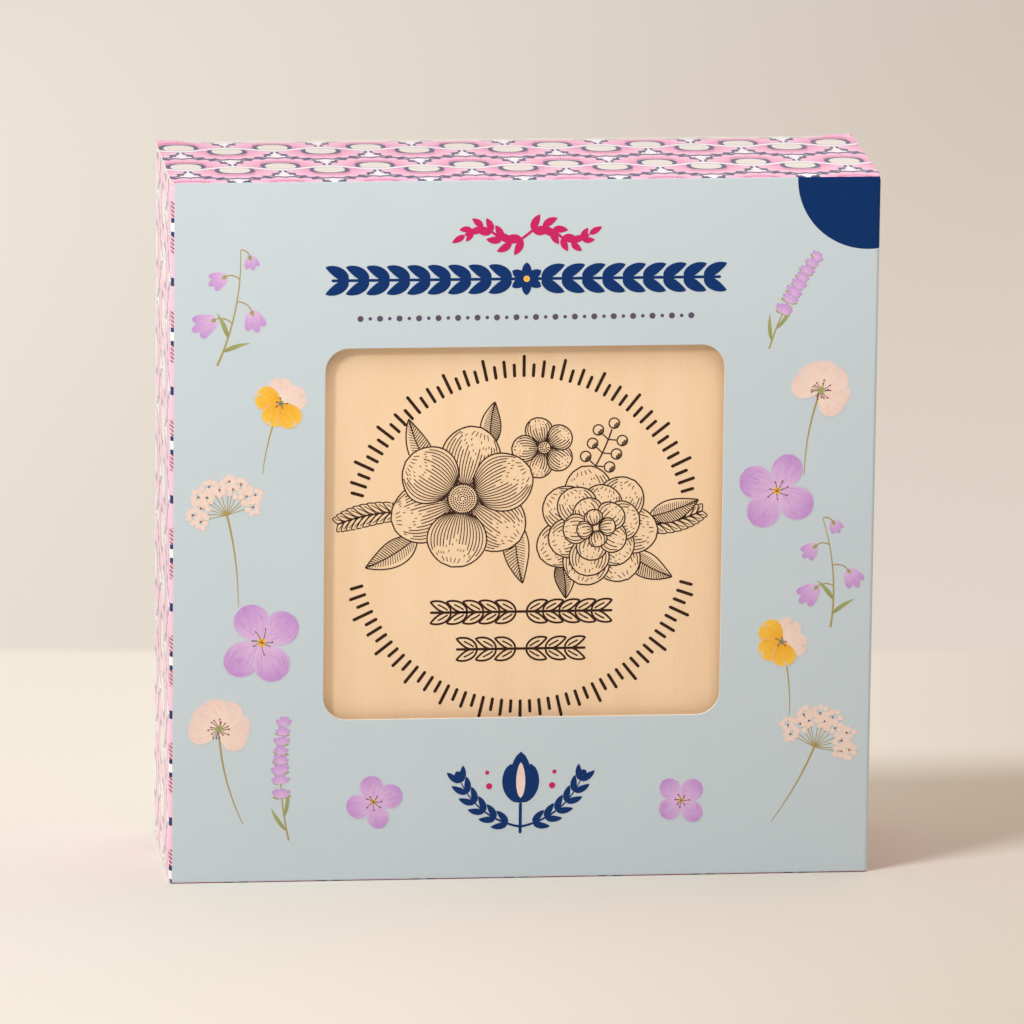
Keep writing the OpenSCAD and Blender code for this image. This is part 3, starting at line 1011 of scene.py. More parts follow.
# %% [markdown]
# The tuck flap goes down inside the back panel and keeps the lid shut. It leans inwards, so that it
# clears the panel as the lid swings, and its free corners are rounded. The two dust flaps fold in under
# the lid from the sides. They are plain card, apart from a narrow strip of print that runs over the
# crease.
# %% The tuck flap
def round_corners(piece, radius, test):
    """Rounds the corners of a flat outline that pass the test."""
    choose(piece, "VERT", lambda v: test(middle(v)))
    bpy.ops.mesh.bevel(offset=radius * MM, segments=8, affect="VERTICES")
    take(piece)


def closure_tuck(name):
    """The flap that goes down inside the back, made flat and then leaned."""
    half, length, lean = EAR - 0.25, 13.0, math.radians(11)
    flap = start_sheet(name, (-half, -length), (half, -0.62), 0)
    round_corners(flap, 8, lambda p: p.y < -10)
    cut(flap, y=(-4.5,), x=(-60, 0, 60))
    flap.rotation_euler.x = math.pi / 2 - lean
    flap.location = (0, TUCK_Y * MM, (HIGH - CARD) * MM)
    settle(flap)
    choose(flap, "FACE", lambda f: True)
    bpy.ops.mesh.normals_make_consistent(inside=False)
    take(flap)
    if sum(f.normal.y for f in flap.data.polygons) < 0:
        flap.data.flip_normals()
    make_card(flap, [tuck_card])
    return smooth(flap, 30)


tuck = closure_tuck("carton_lid_tuck")

# %% A dust flap for the left, and its mirror image for the right
DUST_LOW, DUST_HIGH, DUST_SLANT, DUST_PRINT = (-98.95, -25.2), (-59.2, 26.5), 16.8, 94.5


def closure_dust(name, side):
    """A flap that folds in from one side, cut slanting at its front."""
    flap = start_sheet(name, DUST_LOW, DUST_HIGH, HIGH - NOTCH)
    for corner in flap.data.vertices:
        if corner.co.x > -80 * MM and corner.co.y < 0:
            corner.co.y += DUST_SLANT * MM
    round_corners(flap, 7.5, lambda p: p.x > -80 and p.y > 0)
    round_corners(flap, 3.0, lambda p: p.x > -80 and p.y < 0)
    cut(flap, x=(-DUST_PRINT,))
    if side > 0:
        for corner in flap.data.vertices:
            corner.co.x *= -1
        flap.data.flip_normals()
    print_on(flap, 1, lambda c, n: abs(c.x) > DUST_PRINT)
    make_card(flap, [inside_card, side_card])
    return smooth(flap, 30)


dust_left, dust_right = closure_dust("carton_lid_dust_left", -1), closure_dust("carton_lid_dust_right", 1)

# %% [markdown]
# The base closes in the same way as the lid, upside down. What repeats is modelled once: each closure
# piece is copied with its own mesh and mirrored about the middle of the carton's height. Mirroring turns
# faces inside out, so they are flipped back.
# %% The base closure
def mirrored_at_base(piece, name):
    copy = twin(piece, name)
    for corner in copy.data.vertices:
        corner.co.z = HIGH * MM - corner.co.z
    copy.data.flip_normals()
    return copy


base = mirrored_at_base(lid, "carton_base")
base_tuck = mirrored_at_base(tuck, "carton_base_tuck")
base_dust_left = mirrored_at_base(dust_left, "carton_base_dust_left")
base_dust_right = mirrored_at_base(dust_right, "carton_base_dust_right")

# The lid's ears are free, so their outer corners have risen a little. Those of the base are pressed flat.
for corner in lid.data.vertices:
    x, y = abs(corner.co.x) / MM, corner.co.y / MM
    corner.co.z += EAR_RISE * MM * portion(x, EAR - 4, EAR + 4) * portion(y, EAR_FROM, BACK) ** 2
print("base closure copied from the lid")

# %% [markdown]
# The press boards are birch plywood: pale, with a fine upright grain on the face and thin plies on the
# edges. The grain could be a picture of wood. Here it is noise stretched along the grain, with wavy year
# rings mixed in, and the plies are bands across the thickness that show only where the surface doesn't
# face forwards or back.
# %% Birch plywood
FRONT_BOARD_Y, REAR_BOARD_Y = front_of("front_board"), front_of("rear_board")
BOARD_THICK, PLIES = 10.0, 7


def birch(name, front, warm):
    finish = Finish(name, Specular_IOR_Level=0.35)
    where = finish.place()
    x, y = finish.parts(where)[:2]
    facing = finish.parts(finish.node("ShaderNodeNewGeometry", take="True Normal"))[1]
    drift = finish.speckle(finish.stretch(where, 1, 1, 0.22), 26, 2)
    rings = ((x * 0.42 + drift * 16).sine() * 0.5 + 0.5) * 0.6 + 0.4 * drift
    fibre = finish.speckle(finish.stretch(where, 1, 1, 0.045), 0.55, 4, 0.65)
    cloud = finish.speckle(where, 40, 2)
    face = finish.mix(rings * 0.30 + fibre * 0.38 + cloud * 0.32, paint(*warm), paint(254, 225, 188))
    pores = finish.step(finish.speckle(finish.stretch(where, 1, 1, 0.08), 0.32, 2), 0.70, 0.03)
    face = finish.mix(pores * 0.22, face, paint(176, 128, 84))
    ply = ((y - front) * (PLIES / 2 / BOARD_THICK)) % 1.0 > 0.5
    layer = finish.mix(ply, paint(232, 198, 156), paint(198, 152, 108))
    grain = finish.speckle(finish.stretch(where, 1, 4, 1), 0.7, 3)
    layer = finish.mix(grain * 0.5, layer, paint(160, 116, 78))
    finish.colour(finish.mix(abs(facing) < 0.6, face, layer))
    finish.rough(0.52 + 0.16 * fibre)
    finish.bump(fibre * 0.7 + rings * 0.3, 0.02)
    return finish.material


front_birch = birch("birch_front_board", FRONT_BOARD_Y, (245, 205, 163))
rear_birch = birch("birch_rear_board", REAR_BOARD_Y, (236, 195, 151))
print("made", front_birch.name, rear_birch.name)

# %% [markdown]
# Each board is a square with rounded corners and edges eased with sandpaper, drilled near its corners for
# the bolts. In the front board each hole starts with a square recess for the bolt's neck. The holes are
# cut with one cutter each, and then all the hard edges are eased at once by a bevel that works by angle.
# %% The boards
BOARD, BOARD_Z, BOARD_ROUND = 192.0, 98.15, 5.0
BOLT_OFF, HOLE, RECESS, RECESS_DEEP = 76.0, 3.4, 3.15, 3.65
CORNERS = ((-1, 1), (1, 1), (-1, -1), (1, -1))


def drill(piece, x, z, y_low, y_high, radius, sides=32):
    """Cuts a hole along Y. Four sides make a square recess."""
    bpy.ops.object.select_all(action="DESELECT")
    bpy.ops.mesh.primitive_cylinder_add(
        vertices=sides, radius=radius * MM, depth=(y_high - y_low) * MM,
        location=(x * MM, (y_low + y_high) / 2 * MM, z * MM), rotation=(math.pi / 2, 0, 0))
    cutter = bpy.context.object
    if sides == 4:
        cutter.rotation_euler = (math.pi / 2, math.pi / 4, 0)
    settle(cutter)
    modify(piece, "BOOLEAN", operation="DIFFERENCE", solver="EXACT", object=cutter)
    bpy.data.objects.remove(cutter)


def press_board(name, front, material, recess):
    """A drilled and eased board. Recesses for the bolts' necks are cut only if asked for."""
    half = BOARD / 2
    board = start_box(name, (-half, front, BOARD_Z - half), (half, front + BOARD_THICK, BOARD_Z + half))
    choose(board, "EDGE", lambda e: abs(middle(e).y - front - BOARD_THICK / 2) < 0.1)
    bpy.ops.mesh.bevel(offset=BOARD_ROUND * MM, segments=8, profile=0.5)
    take(board)
    for sx, sz in CORNERS:
        x, z = sx * BOLT_OFF, BOARD_Z + sz * BOLT_OFF
        drill(board, x, z, front - 1, front + BOARD_THICK + 1, HOLE)
        if recess:
            drill(board, x, z, front - 1, front + RECESS_DEEP, RECESS * math.sqrt(2), 4)
    modify(board, "BEVEL", width=0.45 * MM, segments=3, limit_method="ANGLE", angle_limit=math.radians(50))
    board.data.materials.append(material)
    return smooth(board, 40)


front_board = press_board("press_front_board", FRONT_BOARD_Y, front_birch, True)
rear_board = press_board("press_rear_board", REAR_BOARD_Y, rear_birch, False)

# %% [markdown]
# The front board is engraved: a ring of short rays like a dial's, a bouquet in fine lines, and two sprigs
# below it. Engraved lines are burnt into the wood and nearly flat, so they are thin dark strokes. The
# hard part is what lies behind what. The bouquet is drawn from the front to the back, each flower and
# leaf keeps its outline as a cover, and the later lines are left out where they would pass under a cover.
# %% A test for what lies behind
def inside(point, outline):
    """True if a point lies inside a closed outline, counted by the sides it crosses."""
    (x, z), hit = point, False
    for (ax, az), (bx, bz) in zip(outline, outline[1:] + outline[:1]):
        if (az > z) != (bz > z) and x < ax + (bx - ax) * (z - az) / (bz - az):
            hit = not hit
    return hit

# %% Line engraving
class Drawing:
    """Lines on a board, drawn from the front layer to the back."""

    def __init__(self, inlay):
        self.inlay, self.covers = inlay, []

    def hidden(self, point):
        x, z = point
        return any(low[0] < x < high[0] and low[1] < z < high[1] and inside(point, outline)
                   for low, high, outline in self.covers)

    def line(self, points, width):
        """Draws the runs of a line that no cover hides."""
        run = []
        for point in [*fine(points, 0.35), None]:
            if point and not self.hidden(point):
                run.append(point)
            else:
                if len(run) > 2:
                    self.inlay.stroke(run, width)
                run = []

    def cover(self, outline):
        """Hides what is drawn later inside an outline."""
        low = tuple(min(p[k] for p in outline) for k in (0, 1))
        high = tuple(max(p[k] for p in outline) for k in (0, 1))
        self.covers.append((low, high, outline))

    def outline(self, start, heading, length, width, bend, shape, power, count=24):
        """The middle line of a leaf or a petal, and rows of points across it."""
        rib = path(start, heading, length, bend, count)
        swells = [max(math.sin(math.pi * (i / count) ** shape), 0) ** power for i in range(count + 1)]
        return rib, rows_of(rib, [width * s for s in swells], 2)

    def leaf(self, start, heading, length, width, bend):
        """A pointed leaf with a midrib, and slanting hatching that is heavier on its shaded half."""
        rib, rows = self.outline(start, heading, length, width, bend, 0.8, 0.9)
        self.line(rim(rows), 0.36)
        self.line(rib, 0.32)
        for side, reach, thick in ((0, 0.92, 0.24), (2, 0.7, 0.17)):
            for i in range(2, 22):
                a, b = rib[i], rows[min(i + 2, 24)][side]
                self.line([a, tuple(p + (q - p) * reach for p, q in zip(a, b))], thick)
        self.cover(rim(rows))

    def petal(self, start, heading, length, width, bend, shape, lines):
        """A petal's outline with veins that run out from its foot."""
        rows = self.outline(start, heading, length, width, bend, shape, 0.5)[1]
        self.line(rim(rows), 0.38)
        for k in range(-lines, lines + 1):
            share = 0.5 + 0.46 * k / (lines + 0.5)
            vein = [tuple(a + (b - a) * share for a, b in zip(row[0], row[2])) for row in rows]
            stop = 10 + int(9 * (abs(k) / lines) ** 0.7 + engraver.uniform(0, 4))
            self.line(vein[1:min(stop, 22)], 0.25)
            if stop < 19:
                self.line(vein[stop + 1:stop + 3], 0.2)
            if k % 2 and stop < 18:
                self.line(vein[20:23], 0.2)
        self.cover(rim(rows))

    def eye(self, x, z, radius, rings):
        """The middle of a flower: a circle filled with rings of dots."""
        gap = 0.62
        ring = circle(x, z, radius, 32)
        self.line(ring, 0.4)
        for n in range(rings):
            r = radius * (0.92 - 0.9 * n / rings)
            for i in range(max(1, int(2 * math.pi * r / gap))):
                turn_by = gap * i / max(r, 0.3) + n
                self.inlay.dot(x + r * math.cos(turn_by), z + r * math.sin(turn_by), 0.23, 0)
        self.cover(ring)

# %% The engraving's dark wood and its ring of rays
def burnt():
    finish = Finish("burnt_lines", Specular_IOR_Level=0.2)
    where = finish.place()
    char = finish.speckle(where, 0.5, 3, 0.6)
    finish.colour(finish.mix(char, paint(36, 20, 14), paint(66, 40, 26)))
    finish.rough(0.75 + 0.15 * char)
    return finish.material


engraver = random.Random(5)
engraving = Inlay("board_engraving", FRONT_BOARD_Y, [burnt()])
drawing = Drawing(engraving)
RAY_COUNT, RAY_FOOT, RAY_TIPS, ENGRAVING_THICK = 112, 46.8, (53.2, 50.8, 51.9, 50.8), 0.08
for n in range(RAY_COUNT):
    if abs(math.sin(2 * math.pi * n / RAY_COUNT)) < math.sin(math.radians(75)):
        turn_by = math.pi / 2 + 2 * math.pi * n / RAY_COUNT
        way_x, way_z = math.cos(turn_by), math.sin(turn_by)
        ray = [(r * way_x, BOARD_Z + r * way_z) for r in (RAY_FOOT, RAY_TIPS[n % 4])]
        engraving.stroke(ray, 0.9)
print("rays drawn", len(engraving.slots))

# %% Parts of the bouquet
def bloom(x, z, eye, count, length, width, turn_by, shape, lines, rings):
    """A flower seen from the front: its eye, then the petals on top, then those behind."""
    if rings:
        drawing.eye(x, z, eye, rings)
    for start in (0, 1):
        for i in range(start, count, 2):
            aim = turn_by + 360 * i / count + engraver.uniform(-4, 4)
            foot = path((x, z), aim, eye * 0.8)[-1]
            grow = engraver.uniform(0.93, 1.06)
            drawing.petal(foot, aim, length * grow, width, engraver.uniform(-16, 16), shape, lines)


def frond(start, heading, length, bend, leaflet):
    """A fern frond behind the flowers."""
    rib = path(start, heading, length, bend, 26)
    drawing.line(rib, 0.42)
    for i in range(4, 26, 2):
        grow = leaflet * math.sin(math.pi * (1 - i / 28)) ** 0.6
        for side in (-1, 1):
            aim = heading + bend * i / 26 + side * 48
            vein, rows = drawing.outline(rib[i], aim, grow, 2.1, -side * 24, 0.8, 0.8, 8)
            drawing.line(rim(rows), 0.3)
            drawing.line(vein[:7], 0.22)
            drawing.cover(rim(rows))


BERRY_SHADE = math.degrees(-1.75), math.degrees(0.25)


def berries(start, heading, length, bend):
    """Round berries on short stalks, each shaded by arcs on its lower right side."""
    stem = path(start, heading, length, bend, 20)
    places = [(stem[i], side) for i in (8, 12, 16) for side in (-1, 1)] + [(stem[-1], 0)]
    for (x, z), side in places:
        way = math.radians(heading + bend * 0.6 + side * 70)
        reach = 4.0 if side else 0.8
        cx, cz = x + reach * math.cos(way), z + reach * math.sin(way)
        ring = circle(cx, cz, 1.5, 24)
        drawing.line(ring, 0.36)
        for k in (0.55, 0.85, 1.15):
            drawing.line(arc(cx, cz, k, *BERRY_SHADE, 16), 0.22)
        drawing.cover(ring)
        drawing.line([(x, z), (cx, cz)], 0.34)
    drawing.line(stem, 0.42)

# %% Compose the bouquet, from the front to the back
bloom(-17, 110, 4.4, 6, 17.0, 17.0, 20, 1.0, 8, 6)
bloom(21, 101, 1.0, 4, 4.6, 5.2, 10, 1.15, 2, 0)
bloom(21, 101, 1.6, 5, 8.0, 8.6, 40, 1.15, 3, 0)
bloom(21, 101, 2.4, 6, 11.6, 11.4, 15, 1.15, 5, 0)
bloom(21, 101, 3.0, 7, 15.2, 13.4, 48, 1.15, 6, 0)
bloom(6, 124.5, 1.9, 5, 7.6, 7.6, 36, 1.1, 4, 3)
drawing.leaf((-2, 104), 268, 19, 7.4, 18)
drawing.leaf((30, 94), 318, 15, 7.2, 24)
drawing.leaf((-30, 99), 222, 17, 7.6, -22)
drawing.leaf((36, 104), 12, 15, 6.4, 14)
drawing.leaf((-9, 125), 98, 13, 5.8, -24)
drawing.leaf((11, 92), 288, 11.5, 5.6, -20)
berries((16, 112), 52, 21, 22)
frond((-28, 106), 172, 25, 30, 5.6)
frond((28, 102), 352, 24, 34, 5.2)
drawing.leaf((-25, 117), 126, 18, 6.6, -22)
print("bouquet drawn", len(engraving.slots))

# %% The two sprigs below the bouquet
def open_sprig(z, half, leaf, pairs):
    """A straight stem with open leaves in pairs, which grow outwards from the middle."""
    reach = half - leaf * 0.9
    for side in (-1, 1):
        for i in range(pairs):
            for up in (-1, 1):
                aim = (0 if side > 0 else 180) + side * up * 40
                foot = side * (1.6 + i * (reach - 1.6) / (pairs - 1))
                bend = -side * up * 24
                rib, rows = drawing.outline((foot, z), aim, leaf, leaf * 0.4, bend, 0.85, 0.8, 12)
                drawing.line(rim(rows), 0.55)
                drawing.line(rib[2:9], 0.42)
    drawing.line([(-half, z), (half, z)], 0.7)


open_sprig(77.0, 26.0, 6.6, 5)
open_sprig(66.2, 18.5, 6.6, 3)
board_engraving = engraving.done(ENGRAVING_THICK)
smooth(board_engraving, 30)

# %% [markdown]
# The bolts, washers and nuts are bright zinc-plated steel. Zinc isn't a mirror: it has a slightly milky
# blue-grey crystal mottling and fine rub marks. All three share one recipe, with its own roughness and
# tone for each.
# %% Zinc-plated steel
def zinc(name, low, high, grain):
    finish = Finish(name, Metallic=1.0)
    where = finish.place()
    crystal = finish.node("ShaderNodeTexVoronoi", None, {"Vector": where, "Scale": 0.9}, "Distance")
    rub = finish.speckle(finish.stretch(where, 1, 3, 1), grain, 4, 0.7)
    finish.colour(finish.mix(crystal * 0.5 + rub * 0.5, paint(*low), paint(*high)))
    finish.rough(0.22 + 0.16 * rub + 0.08 * crystal)
    finish.bump(rub, 0.006)
    return finish.material


bolt_zinc = zinc("zinc_bolt", (186, 188, 192), (216, 218, 222), 0.6)
washer_zinc = zinc("zinc_washer", (190, 192, 196), (222, 223, 226), 0.9)
nut_zinc = zinc("zinc_wing_nut", (184, 185, 188), (214, 215, 219), 1.4)
print("made", bolt_zinc.name, washer_zinc.name, nut_zinc.name)

# %% [markdown]
# A bolt's head, a washer and the hub of a nut are turned shapes. Each is a line of points, given as
# radius and height, spun round an axis. After the spin the first and last lines lie on each other and are
# merged, and the normals are made to point outwards.
# %% A helper for turned shapes
def turned(name, profile, steps=48):
    """Spins a profile of (radius, height) points in millimetres round Z."""
    piece = from_points(name, [(r, 0, h) for r, h in profile], chain(profile))
    choose(piece, "EDGE", lambda e: True)
    bpy.ops.mesh.spin(steps=steps, angle=2 * math.pi, center=(0, 0, 0), axis=(0, 0, 1))
    bpy.ops.mesh.select_all(action="SELECT")
    bpy.ops.mesh.remove_doubles(threshold=0.002 * MM)
    bpy.ops.mesh.normals_make_consistent(inside=False)
    return take(piece)


def on_bolts(pattern, y, turns=(0, 0, 0, 0)):
    """Four copies of a shape made along Z, each turned, then laid on a bolt's axis to point back from y."""
    copies = []
    for n, ((sx, sz), angle) in enumerate(zip(CORNERS, turns), 1):
        piece = twin(pattern, f"{pattern.name}_{n}")
        piece.rotation_euler.z = math.radians(angle)
        settle(piece)
        piece.rotation_euler = (-math.pi / 2, 0, 0)
        piece.location = (sx * BOLT_OFF * MM, y * MM, (BOARD_Z + sz * BOLT_OFF) * MM)
        copies.append(settle(piece))
    bpy.data.objects.remove(pattern)
    return copies

# %% [markdown]
# The bolt is a coach bolt: a low dome, a square neck and a threaded shank. The thread is one zigzag line
# turned with the Screw modifier, which climbs a millimetre in each turn. A chamfered tip closes its end.
# The neck is a box with its long edges eased.
# %% The bolts
BOLT_LENGTH, SHANK, ROOT, PITCH, THREAD_FROM = 44.95, 3.0, 2.5, 1.0, 3.0
HEAD, DOME = 6.75, 2.5


def thread():
    ridges = int(BOLT_LENGTH - THREAD_FROM - 1)
    points = []
    for h in (THREAD_FROM + PITCH * i for i in range(ridges)):
        points += [(ROOT, h), (ROOT, h + 0.12), (SHANK, h + 0.46), (SHANK, h + 0.58)]
    points.append((ROOT, THREAD_FROM + PITCH * ridges))
    piece = from_points("thread", [(r, 0, h) for r, h in points], chain(points))
    modify(piece, "SCREW", screw_offset=PITCH * MM, steps=28, render_steps=28, use_merge_vertices=False,
           use_normal_calculate=True)
    choose(piece, "FACE", lambda f: True)
    bpy.ops.mesh.remove_doubles(threshold=0.004 * MM)
    bpy.ops.mesh.normals_make_consistent(inside=False)
    return take(piece)


def coach_bolt():
    ball = (HEAD ** 2 + DOME ** 2) / (2 * DOME)
    dome = arc(0, ball - DOME, ball, -90, math.degrees(math.asin((HEAD - 0.2) / ball)) - 90, 10)
    head = turned("bolt_head", [*dome, (6.72, -0.22), (6.72, -0.06), (6.6, 0), (0, 0)])
    end, core = BOLT_LENGTH, ROOT + 0.12
    shank = turned("bolt_shank", [(0, 0), (core, 0), (core, end - 0.7), (2.0, end), (0, end)], 32)
    neck = start_box("bolt_neck", (-SHANK, -SHANK, -0.1), (SHANK, SHANK, 3.5))
    choose(neck, "EDGE", lambda e: 1 < middle(e).z < 3)
    bpy.ops.mesh.bevel(offset=0.5 * MM, segments=3)
    take(neck)
    join([head, shank, neck, thread()])
    head.name = head.data.name = "press_bolt"
    head.data.materials.append(bolt_zinc)
    return smooth(head, 35)


bolts = on_bolts(coach_bolt(), FRONT_BOARD_Y)

# %% [markdown]
# The washer is a flat ring with eased rims. The wing nut is a casting: a tapered hub and two wings that
# flow into it. Modelled apart, they would meet in a hard line, so they are joined, remeshed into one skin
# and relaxed, as molten metal would round the joint. The bore is cut afterwards, to stay true.
# %% The washers and the wing nuts
WASHER, WASHER_THICK, WING_THICK = 9.0, 1.2, 2.0
half_section = [(HOLE, 0.15), (HOLE + 0.15, 0), (WASHER - 0.25, 0), (WASHER, 0.25)]
mirrored = [(r, WASHER_THICK - h) for r, h in reversed(half_section)]
washer = turned("press_washer", [*half_section, *mirrored, half_section[0]], 56)
washer.data.materials.append(washer_zinc)
washers = on_bolts(smooth(washer, 30), front_of("washer_1"))


def wing(side):
    """One wing, from its root in the hub out to the round tip."""
    root, tip, top = [(1.0, 1.6), (4.5, 1.4), (6.6, 2.5)], (9.8, 7.8), [(6.4, 9.0), (4.6, 6.4), (1.0, 6.4)]
    outline = [*root, *arc(*tip, 3.2, -42, 118, 12), *top]
    flat = [(side * x, -WING_THICK / 2, z) for x, z in outline]
    piece = from_points("wing", flat, (), [range(len(flat))])
    choose(piece, "FACE", lambda f: True)
    bpy.ops.mesh.extrude_region_move(TRANSFORM_OT_translate={"value": (0, WING_THICK * MM, 0)})
    bpy.ops.mesh.select_all(action="SELECT")
    bpy.ops.mesh.normals_make_consistent(inside=False)
    return take(piece)


hub_section = [(0, 0.05), (5.7, 0.05), (5.95, 0.3), (5.95, 1.9), (5.0, 6.1), (4.6, 6.45), (0, 6.45)]
hub = turned("press_wing_nut", hub_section)
join([hub, wing(1), wing(-1)])
modify(hub, "REMESH", mode="VOXEL", voxel_size=0.30 * MM)
modify(hub, "SMOOTH", factor=0.5, iterations=4)
bpy.ops.mesh.primitive_cylinder_add(vertices=40, radius=3.05 * MM, depth=0.03)
bore = named("bore")
modify(hub, "BOOLEAN", operation="DIFFERENCE", solver="EXACT", object=bore)
bpy.data.objects.remove(bore)
hub.data.materials.append(nut_zinc)
nuts = on_bolts(smooth(hub, 40), front_of("wing_nut_1"), (18, -24, 35, -8))

# %% [markdown]
# Between the boards lies the stack: brown corrugated cards with blotting sheets between them, all with
# their corners cut off to clear the bolts. Corrugated card shows its waves at the upper and lower edges,
# so each card is built as it is made: a waved sheet between two flat liners. The waves run upright, so
# that the stack can breathe upwards.
# %% Finishes of the stack
FLUTE, WAVE, LINER, CARD_THICK, SHEET_THICK = 3.2, 0.58, 0.2, 1.8, 0.4


def kraft():
    finish = Finish("corrugated_kraft", Specular_IOR_Level=0.2)
    where = finish.place()
    fibres = finish.speckle(finish.stretch(where, 0.4, 1, 1), 0.6, 4, 0.7)
    ribs = (finish.parts(where)[0] * (2 * math.pi / FLUTE)).sine() * 0.5 + 0.5
    finish.colour(finish.mix(fibres * 0.7 + ribs * 0.12, paint(178, 138, 98), paint(208, 172, 130)))
    finish.rough(0.82 + 0.12 * fibres)
    finish.bump(fibres * 0.5 + ribs * 0.5, 0.05)
    return finish.material


def blotter():
    finish = Finish("blotting_paper", Specular_IOR_Level=0.15)
    where = finish.place()
    felt = finish.speckle(where, 0.5, 5, 0.75)
    finish.colour(finish.mix(felt, paint(232, 228, 217), paint(248, 245, 238)))
    finish.rough(0.9 + 0.08 * felt)
    finish.bump(felt, 0.06)
    return finish.material


kraft_card, blotting_paper = kraft(), blotter()
print("made", kraft_card.name, blotting_paper.name)

# %% The cards and the sheets
STACK_HALF, STACK_CUT = 85.0, 25.07


def stack_sheet(name, front, thickness, material, wave=0.0):
    """An upright eight-sided sheet with its face at front, waved or flat."""
    across, upwards = (424, 1) if wave else (24, 24)
    bpy.ops.object.select_all(action="DESELECT")
    bpy.ops.mesh.primitive_grid_add(
        x_subdivisions=across, y_subdivisions=upwards, size=2 * STACK_HALF * MM,
        rotation=(math.pi / 2, 0, 0), location=(0, front * MM, BOARD_Z * MM))
    sheet = named(name)
    off = STACK_HALF - STACK_CUT / 2
    for sx, sz in CORNERS:
        choose(sheet, "FACE", lambda f: True)
        at = Vector((sx * off, front, BOARD_Z + sz * off)) * MM
        bpy.ops.mesh.bisect(plane_co=at, plane_no=(sx, 0, sz), clear_outer=True)
    take(sheet)
    for corner in sheet.data.vertices:
        corner.co.y += wave * math.sin(2 * math.pi * corner.co.x / MM / FLUTE) * MM
    sheet.data.materials.append(material)
    modify(sheet, "SOLIDIFY", thickness=thickness * MM, offset=-1)
    return smooth(sheet, 30)


def corrugated(name, front):
    """A waved sheet between two flat liners."""
    rear = CARD_THICK - LINER
    return join([stack_sheet(name, front, LINER, kraft_card),
                 stack_sheet("waves", front + rear / 2, LINER, kraft_card, WAVE),
                 stack_sheet("liner", front + rear, LINER, kraft_card)])


def blotting_sheet(name, front):
    return stack_sheet(name, front, SHEET_THICK, blotting_paper)


cards = [corrugated(f"press_card_{n}", front_of(f"corrugated_card_{n}")) for n in range(1, 6)]
sheets = [blotting_sheet(f"press_sheet_{n}", front_of(f"blotting_sheet_{n}")) for n in range(1, 9)]
print(len(cards), "cards and", len(sheets), "sheets")

# %% [markdown]
# A piece moves only if it rides on a body of the frame. Each piece here also says which nodes of the
# frame it stands for, so that those are hidden. The glue flap keeps its own shape, and only gets a better
# material.
# %% Bodies and nodes
def wear(piece, body, slot, *nodes):
    """Lets a piece ride on a body in place of nodes of the frame. The slot, a finish's name, is not used.
    """
    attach(piece, body)
    if nodes:
        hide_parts(*nodes)


wear(sleeve, "carton", "printed_card_blue", "front_panel", "back_panel", "left_panel", "right_panel")
wear(front_print_piece, "carton", "printed_card_blue")
for end, pieces in (("lid", (lid, tuck, dust_left, dust_right)),
                    ("base", (base, base_tuck, base_dust_left, base_dust_right))):
    wear(pieces[0], end, "printed_card_pattern", f"{end}_panel")
    wear(pieces[1], f"{end}_tuck", "printed_card_pattern", f"{end}_tuck_flap")
    wear(pieces[2], f"{end}_dust_left", "plain_card", f"{end}_dust_flap_left")
    wear(pieces[3], f"{end}_dust_right", "plain_card", f"{end}_dust_flap_right")
wear(front_board, "carton", "engraved_wood", "front_board")
wear(board_engraving, "carton", "engraved_wood")
wear(rear_board, "moving_board", "plain_wood", "rear_board")
for n, (bolt, washer, nut) in enumerate(zip(bolts, washers, nuts), 1):
    wear(bolt, "carton", "bolt_steel", f"carriage_bolt_{n}")
    wear(washer, "moving_board", "washer_steel", f"washer_{n}")
    wear(nut, f"nut_{n}", "nut_steel", f"wing_nut_{n}")
for n, card in enumerate(cards, 1):
    wear(card, f"card_{n}", "corrugated_card", f"corrugated_card_{n}")
for n, sheet in enumerate(sheets, 1):
    wear(sheet, f"sheet_{n}", "blotting_paper", f"blotting_sheet_{n}")
glue_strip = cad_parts["glue_flap"]
glue_strip.data.materials.clear()
glue_strip.data.materials.append(inside_card)
print("all pieces ride on their bodies")

# %% [markdown]
# In the photograph the carton stands on a pale table, and a slightly darker wall begins a little way
# behind it. A wall of its own would hide the carton when it is looked at from behind. So the stage is one
# wide floor, and the wall is a second tone painted on it beyond a line, which from the photograph's side
# looks the same.
# Both tones carry painted light: the floor is painted darker towards the front right, and the wall brighter
# towards the left and further back.
# %% The floor
WALL_LINE, WALL_TURN = 241.0, math.radians(-3.5)


def stage_paint():
    finish = Finish("stage_beige", Roughness=0.9, Specular_IOR_Level=0.2)
    where = finish.place()
    x, y = finish.parts(where)[:2]
    cloud = finish.speckle(where, 160, 3)
    # Painted shade: the floor is painted darker towards the front right, as the light falls off; the cloud
    # is random tone.
    floor_with_painted_falloff = finish.mix(finish.step(x - y * 0.35, 80, 190), paint(244, 234, 220), paint(216, 201, 184))
    floor_with_painted_falloff = finish.mix(cloud * 0.3, floor_with_painted_falloff, paint(234, 220, 204))
    # Painted light: the wall tone is painted brighter towards the left and further back.
    painted_wall_light = finish.step(y * 1.33 - x * 3, 1250, 950)
    wall = finish.mix(painted_wall_light, paint(226, 215, 203), paint(255, 248, 238))
    beyond = finish.step(y - x * math.tan(WALL_TURN), WALL_LINE, 7)
    finish.colour(finish.mix(beyond, floor_with_painted_falloff, wall))
    return finish.material


stage = start_sheet("stage", (-6000, -6000), (6000, 6000), -0.1)
stage.data.materials.append(stage_paint())
stage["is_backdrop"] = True
print("floor", stage.name)

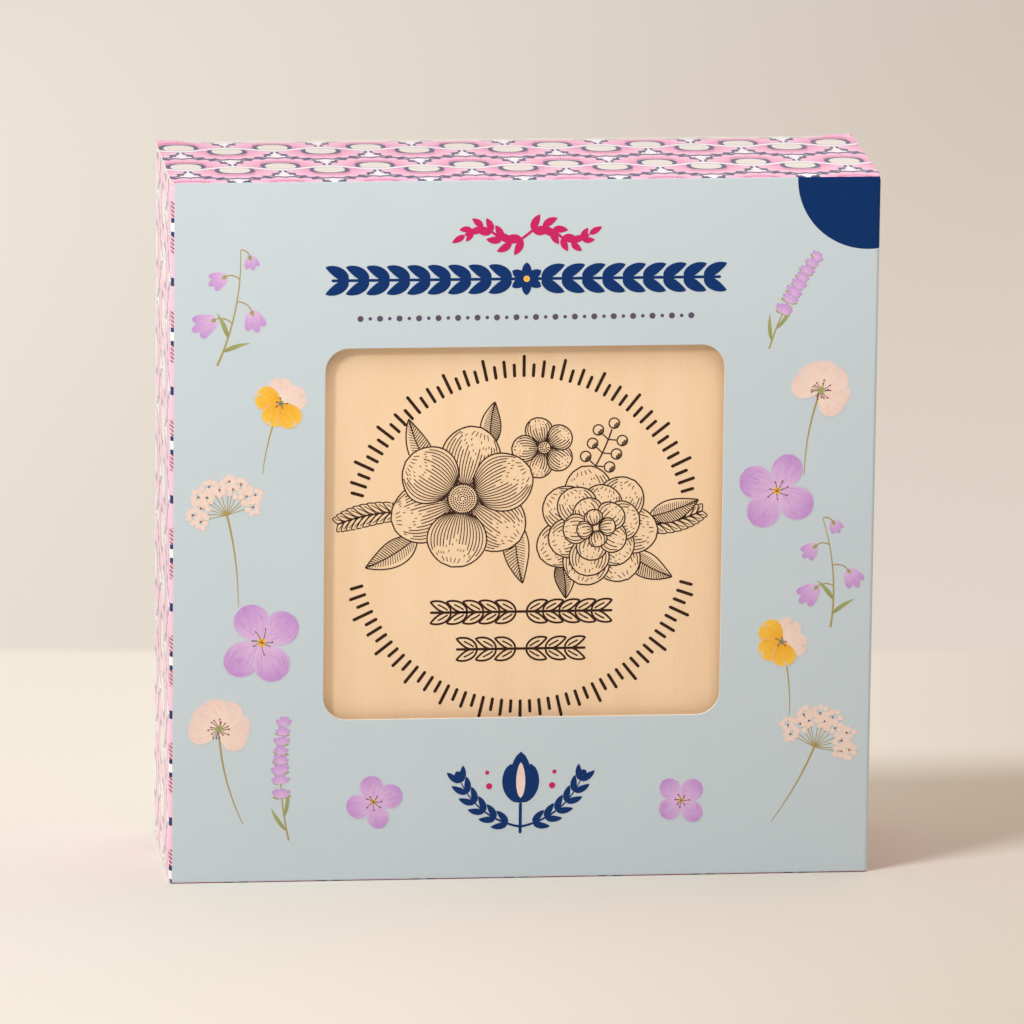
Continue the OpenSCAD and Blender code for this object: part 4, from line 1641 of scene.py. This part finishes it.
# %% [markdown]
# The photograph has one main light from the upper left, in front, which draws the window's shadow on the
# board, and soft light from all round. The floor's shadow falls to the right and only a little way back,
# so a higher lamp than the one on the carton makes it. Light linking lets four lamps reach only the
# carton and two only the floor. One of the four stands behind, so that the carton's back and right side
# aren't left dark.
# %% Lamps
def lamp(name, way, distance, size, watts, colour, reach):
    """A round area lamp that faces the carton's middle and lights only the pieces in reach."""
    bpy.ops.object.light_add(type="AREA")
    light = bpy.context.object
    light.name = name
    way = Vector(way).normalized()
    light.location = Vector((0, 0, 0.1)) + way * distance
    light.rotation_euler = way.to_track_quat("Z", "Y").to_euler()
    light.data.shape, light.data.size = "DISK", size
    light.data.energy, light.data.color = watts, colour
    light.visible_camera = False
    light.light_linking.receiver_collection = reach


on_stage, on_carton = (bpy.data.collections.new(name) for name in ("on_stage", "on_carton"))
on_stage.objects.link(stage)
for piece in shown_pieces():
    on_carton.objects.link(piece)
lamp("key", (-0.925, -1, 0.80), 0.7, 0.102, 1.52, (1.0, 0.975, 0.95), on_carton)
lamp("top_box", (0.2, -0.55, 1.0), 0.6, 0.5, 1.98, (1, 1, 1), on_carton)
lamp("side_box", (-1.0, 0.12, 0.25), 1.2, 1.6, 11.2, (0.98, 0.98, 1.04), on_carton)
lamp("back_box", (0.8, 1.0, 0.3), 1.5, 1.3, 7.5, (1, 1, 1), on_carton)
lamp("high_key", (-0.42, -0.27, 1.0), 3.0, 0.56, 44.5, (0.88, 1.0, 1.13), on_stage)
lamp("stage_fill", (0.1, 0.2, 1.0), 3.0, 3.0, 45.5, (1.0, 0.88, 0.76), on_stage)

# %% The world
def studio_world():
    """Dim light from all round, and a brighter tone where the camera or a gloss looks past the stage."""
    world = bpy.data.worlds.new("studio")
    bpy.context.scene.world = world
    world.use_nodes = True
    tree = Tree(world.node_tree)
    rays = ("Is Camera Ray", "Is Glossy Ray", "Is Transmission Ray")
    direct, glossy, clear = tree.node("ShaderNodeLightPath", take=rays)
    light, seen = (
        tree.node("ShaderNodeBackground", None, {"Color": colour, "Strength": strength})
        for colour, strength in (((1.0, 0.985, 0.965, 1), 0.25), (paint(232, 222, 210), 1.0)))
    blend = tree.node("ShaderNodeMixShader", None, {0: direct.most(glossy).most(clear), 1: light, 2: seen})
    tree.feed(world.node_tree.nodes["World Output"].inputs["Surface"], blend)


studio_world()
bpy.context.scene.view_settings.view_transform = "Standard"
print(len(bpy.data.lights), "lamps")
